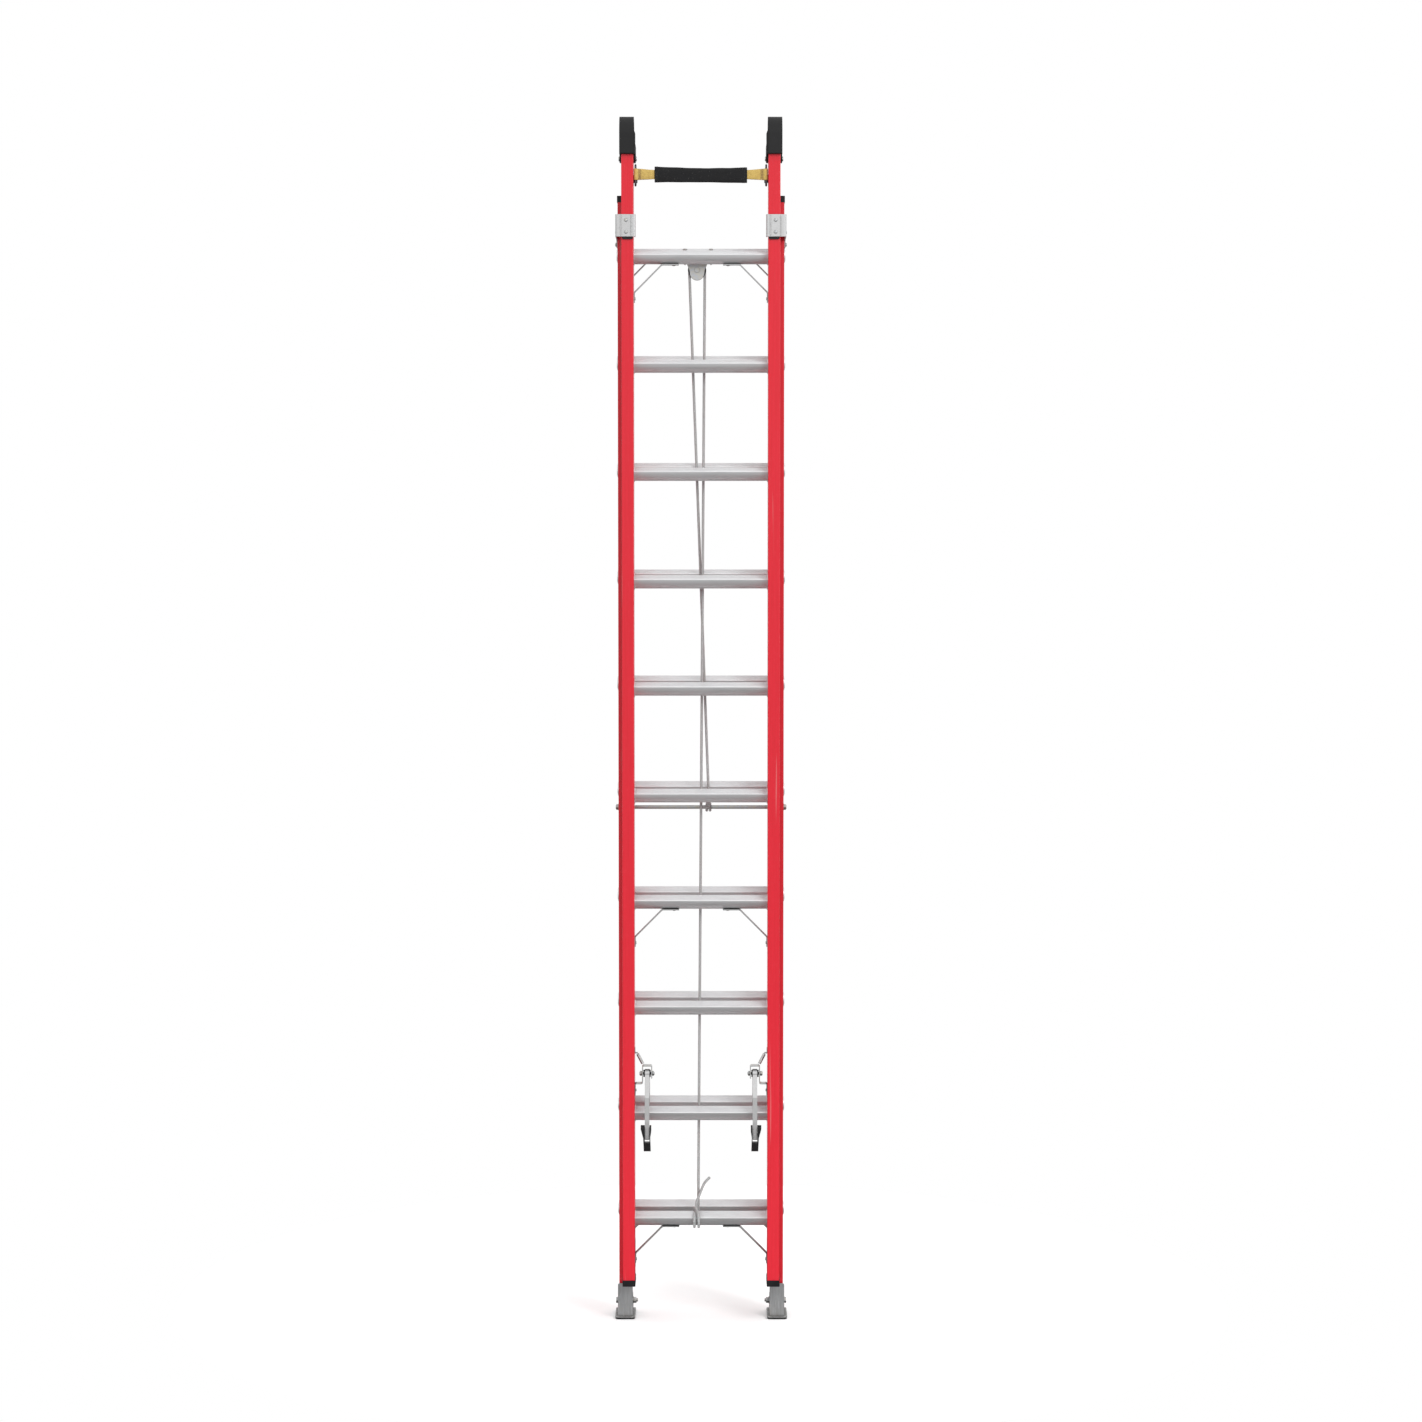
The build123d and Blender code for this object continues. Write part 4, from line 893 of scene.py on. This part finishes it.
def sleeve_point(x, angle, inset=0.0):
    """A point on the sleeve's skin: a flattened tube with soft folds that deepen to its ends."""
    half_depth, half_height = sleeve_size(x)
    up, out = math.cos(angle), math.sin(angle)
    z = rounded_power(up) * (half_height - inset)
    y = rounded_power(out) * (half_depth - inset)
    fold = noise.noise(Vector((x * 26, z * 60, y * 40 + 7.0)))
    crease = noise.noise(Vector((x * 130 + z * 30, z * 45, 2.0)))
    swell = FOLD * fold + CREASE * crease * (x / SLEEVE_HALF) ** 2
    normal = Vector((0, out / half_depth, up / half_height)).normalized()
    middle = STRAP_Z + band_drop(x) - SLEEVE_DROP - SLEEVE_TILT * x / SLEEVE_HALF
    return Vector((x, STRAP_Y + y, middle + z)) + normal * (swell - FOLD)


def sleeve_ring(x, inset):
    angles = [2 * math.pi * number / SLEEVE_POINTS for number in range(SLEEVE_POINTS)]
    return [sleeve_point(x, angle, inset) for angle in angles]


def make_sleeve():
    """The sleeve's outside, with each end turned in to a hem that lies on the webbing."""
    steps = round(2 * SLEEVE_END / SLEEVE_STEP)
    places = [(-SLEEVE_END + inwards, inset) for inwards, inset in HEM]
    places += [(-SLEEVE_END * (1 - 2 * number / steps), 0.0) for number in range(steps + 1)]
    places += [(SLEEVE_END - inwards, inset) for inwards, inset in reversed(HEM)]
    rings = [sleeve_ring(x, inset) for x, inset in places]
    along = lengths_along([Vector((x, inset, 0)) for x, inset in places])
    girth = 2 * (SLEEVE_HEIGHT + SLEEVE_DEPTH)
    sleeve = skin("pole_sleeve", rings, along, girth, MATERIALS["foam"])
    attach(sleeve, "fly")
    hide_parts("strap_sleeve")


def end_stitches(x):
    """A row of stitches round the sleeve at x."""
    stitches = []
    for number in range(SLEEVE_POINTS):
        start = sleeve_point(x, 2 * math.pi * (number + 0.15) / SLEEVE_POINTS)
        end = sleeve_point(x, 2 * math.pi * (number + 0.8) / SLEEVE_POINTS)
        middle = (start + end) / 2
        out = Vector((0, middle.y - STRAP_Y, (middle.z - STRAP_Z) / 2))
        stitches.append((start, end, out.normalized()))
    return stitches


def make_sleeve_stitching():
    """A row of stitches round each end, and one seam along the lower edge of the back."""
    end = SLEEVE_HALF - END_SEAM
    stitches = end_stitches(-end) + end_stitches(end)
    first = -(SLEEVE_HALF - SEAM_MARGIN)
    out = Vector((0, 1, -0.25)).normalized()
    for number in range(int(-2 * first / SEAM_PITCH)):
        x = first + SEAM_PITCH * number
        start = sleeve_point(x, SEAM_ANGLE)
        stitches.append((start, sleeve_point(x + SEAM_PITCH * 0.72, SEAM_ANGLE), out))
    seam = threads("sleeve_stitching", stitches, SEAM_THREAD, BLACK_THREAD)
    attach(seam, "fly")


# Studio --------------------------------------------------------------------------------

FLOOR_RADIUS = 1.55
FLOOR_Y = 0.3
FLOOR_Z = -0.0005
CARD_Z = -0.0003
CARD_CORNERS = 96
WORLD_LOW = 0.12
WORLD_HIGH = 1.15
KEY_PLACE = (3.6, -5.2, 5.0)
KEY_SIZE = (2.4, 3.2)
KEY_POWER = 220
FILL_PLACE = (-2.8, -6.0, 2.6)
FILL_SIZE = (2.0, 3.0)
FILL_POWER = 30
CAMERA_PLACE = (0.0285, -9.045, 2.3077)
CAMERA_PITCH = math.radians(90 - 3.47)
CAMERA_LENS = 80.23


def area_light(name, place, aim_z, size, power):
    """A soft white light aimed at the ladder's middle line at a height."""
    light = bpy.data.lights.new(name, "AREA")
    light.shape = "RECTANGLE"
    light.size, light.size_y = size
    light.energy = power
    lamp = bpy.data.objects.new(name, light)
    lamp.location = place
    aim = Vector((0.0, 0.0, aim_z)) - Vector(place)
    lamp.rotation_euler = aim.to_track_quat("-Z", "Y").to_euler()
    bpy.context.scene.collection.objects.link(lamp)


def round_card(name, z, material):
    """A level disc round the ladder's feet."""
    rim = []
    for number in range(CARD_CORNERS):
        angle = 2 * math.pi * number / CARD_CORNERS
        rim.append((FLOOR_RADIUS * math.cos(angle), FLOOR_Y + FLOOR_RADIUS * math.sin(angle), z))
    mesh = bpy.data.meshes.new(name)
    mesh.from_pydata(rim, [], [tuple(range(CARD_CORNERS))])
    mesh.materials.append(material)
    card = bpy.data.objects.new(name, mesh)
    bpy.context.scene.collection.objects.link(card)
    return card


def make_floor():
    """A pale floor, and a dark card on it that only reflections see, for the metal."""
    round_card("floor", FLOOR_Z, matt_paint("studio_floor", FLOOR, FLOOR_LIGHT))
    card = round_card("dark_card", CARD_Z, matt_paint("dark_paper", CARD_GREY, CARD_LIGHT))
    card.visible_camera = False
    card.visible_diffuse = False
    card.visible_shadow = False
    card.visible_transmission = False


def make_world():
    """White behind the ladder, grey in front of it and dark below, as in a large studio."""
    world = bpy.data.worlds.new("studio")
    bpy.context.scene.world = world
    world.use_nodes = True
    nodes, links = world.node_tree.nodes, world.node_tree.links
    place = nodes.new("ShaderNodeTexCoord")
    split = nodes.new("ShaderNodeSeparateXYZ")
    links.new(place.outputs["Generated"], split.inputs[0])

    def ramp(axis, low, high, to_low=0.0, to_high=1.0, shape="SMOOTHSTEP"):
        node = nodes.new("ShaderNodeMapRange")
        node.interpolation_type = shape
        links.new(split.outputs[axis], node.inputs["Value"])
        for socket, number in zip(RANGE_SOCKETS, (low, high, to_low, to_high)):
            node.inputs[socket].default_value = number
        return node.outputs["Result"]

    front = ramp("Z", -0.95, 0.5, WORLD_LOW, WORLD_HIGH, "LINEAR")
    backdrop = nodes.new("ShaderNodeMath")
    backdrop.operation = "MULTIPLY"
    links.new(ramp("Y", 0.3, 0.8), backdrop.inputs[0])
    links.new(ramp("Z", -0.5, -0.32), backdrop.inputs[1])
    level = nodes.new("ShaderNodeMix")
    links.new(backdrop.outputs[0], level.inputs["Factor"])
    links.new(front, level.inputs[2])
    level.inputs[3].default_value = 1.0
    links.new(level.outputs[0], nodes["Background"].inputs["Color"])


def make_studio():
    make_floor()
    make_world()
    area_light("key", KEY_PLACE, 1.8, KEY_SIZE, KEY_POWER)
    area_light("front_fill", FILL_PLACE, 1.7, FILL_SIZE, FILL_POWER)
    bpy.context.scene.view_settings.view_transform = "Standard"


def make_camera():
    data = bpy.data.cameras.new("camera")
    data.sensor_width = 36.0
    data.lens = CAMERA_LENS
    data.clip_end = 200.0
    camera = bpy.data.objects.new("camera", data)
    camera.location = CAMERA_PLACE
    camera.rotation_euler = (CAMERA_PITCH, 0.0, 0.0)
    bpy.context.scene.collection.objects.link(camera)
    bpy.context.scene.camera = camera


make_camera()
make_studio()
finish_frame()
make_rope()
make_webbing()
make_strap_stitching()
make_sleeve()
make_sleeve_stitching()
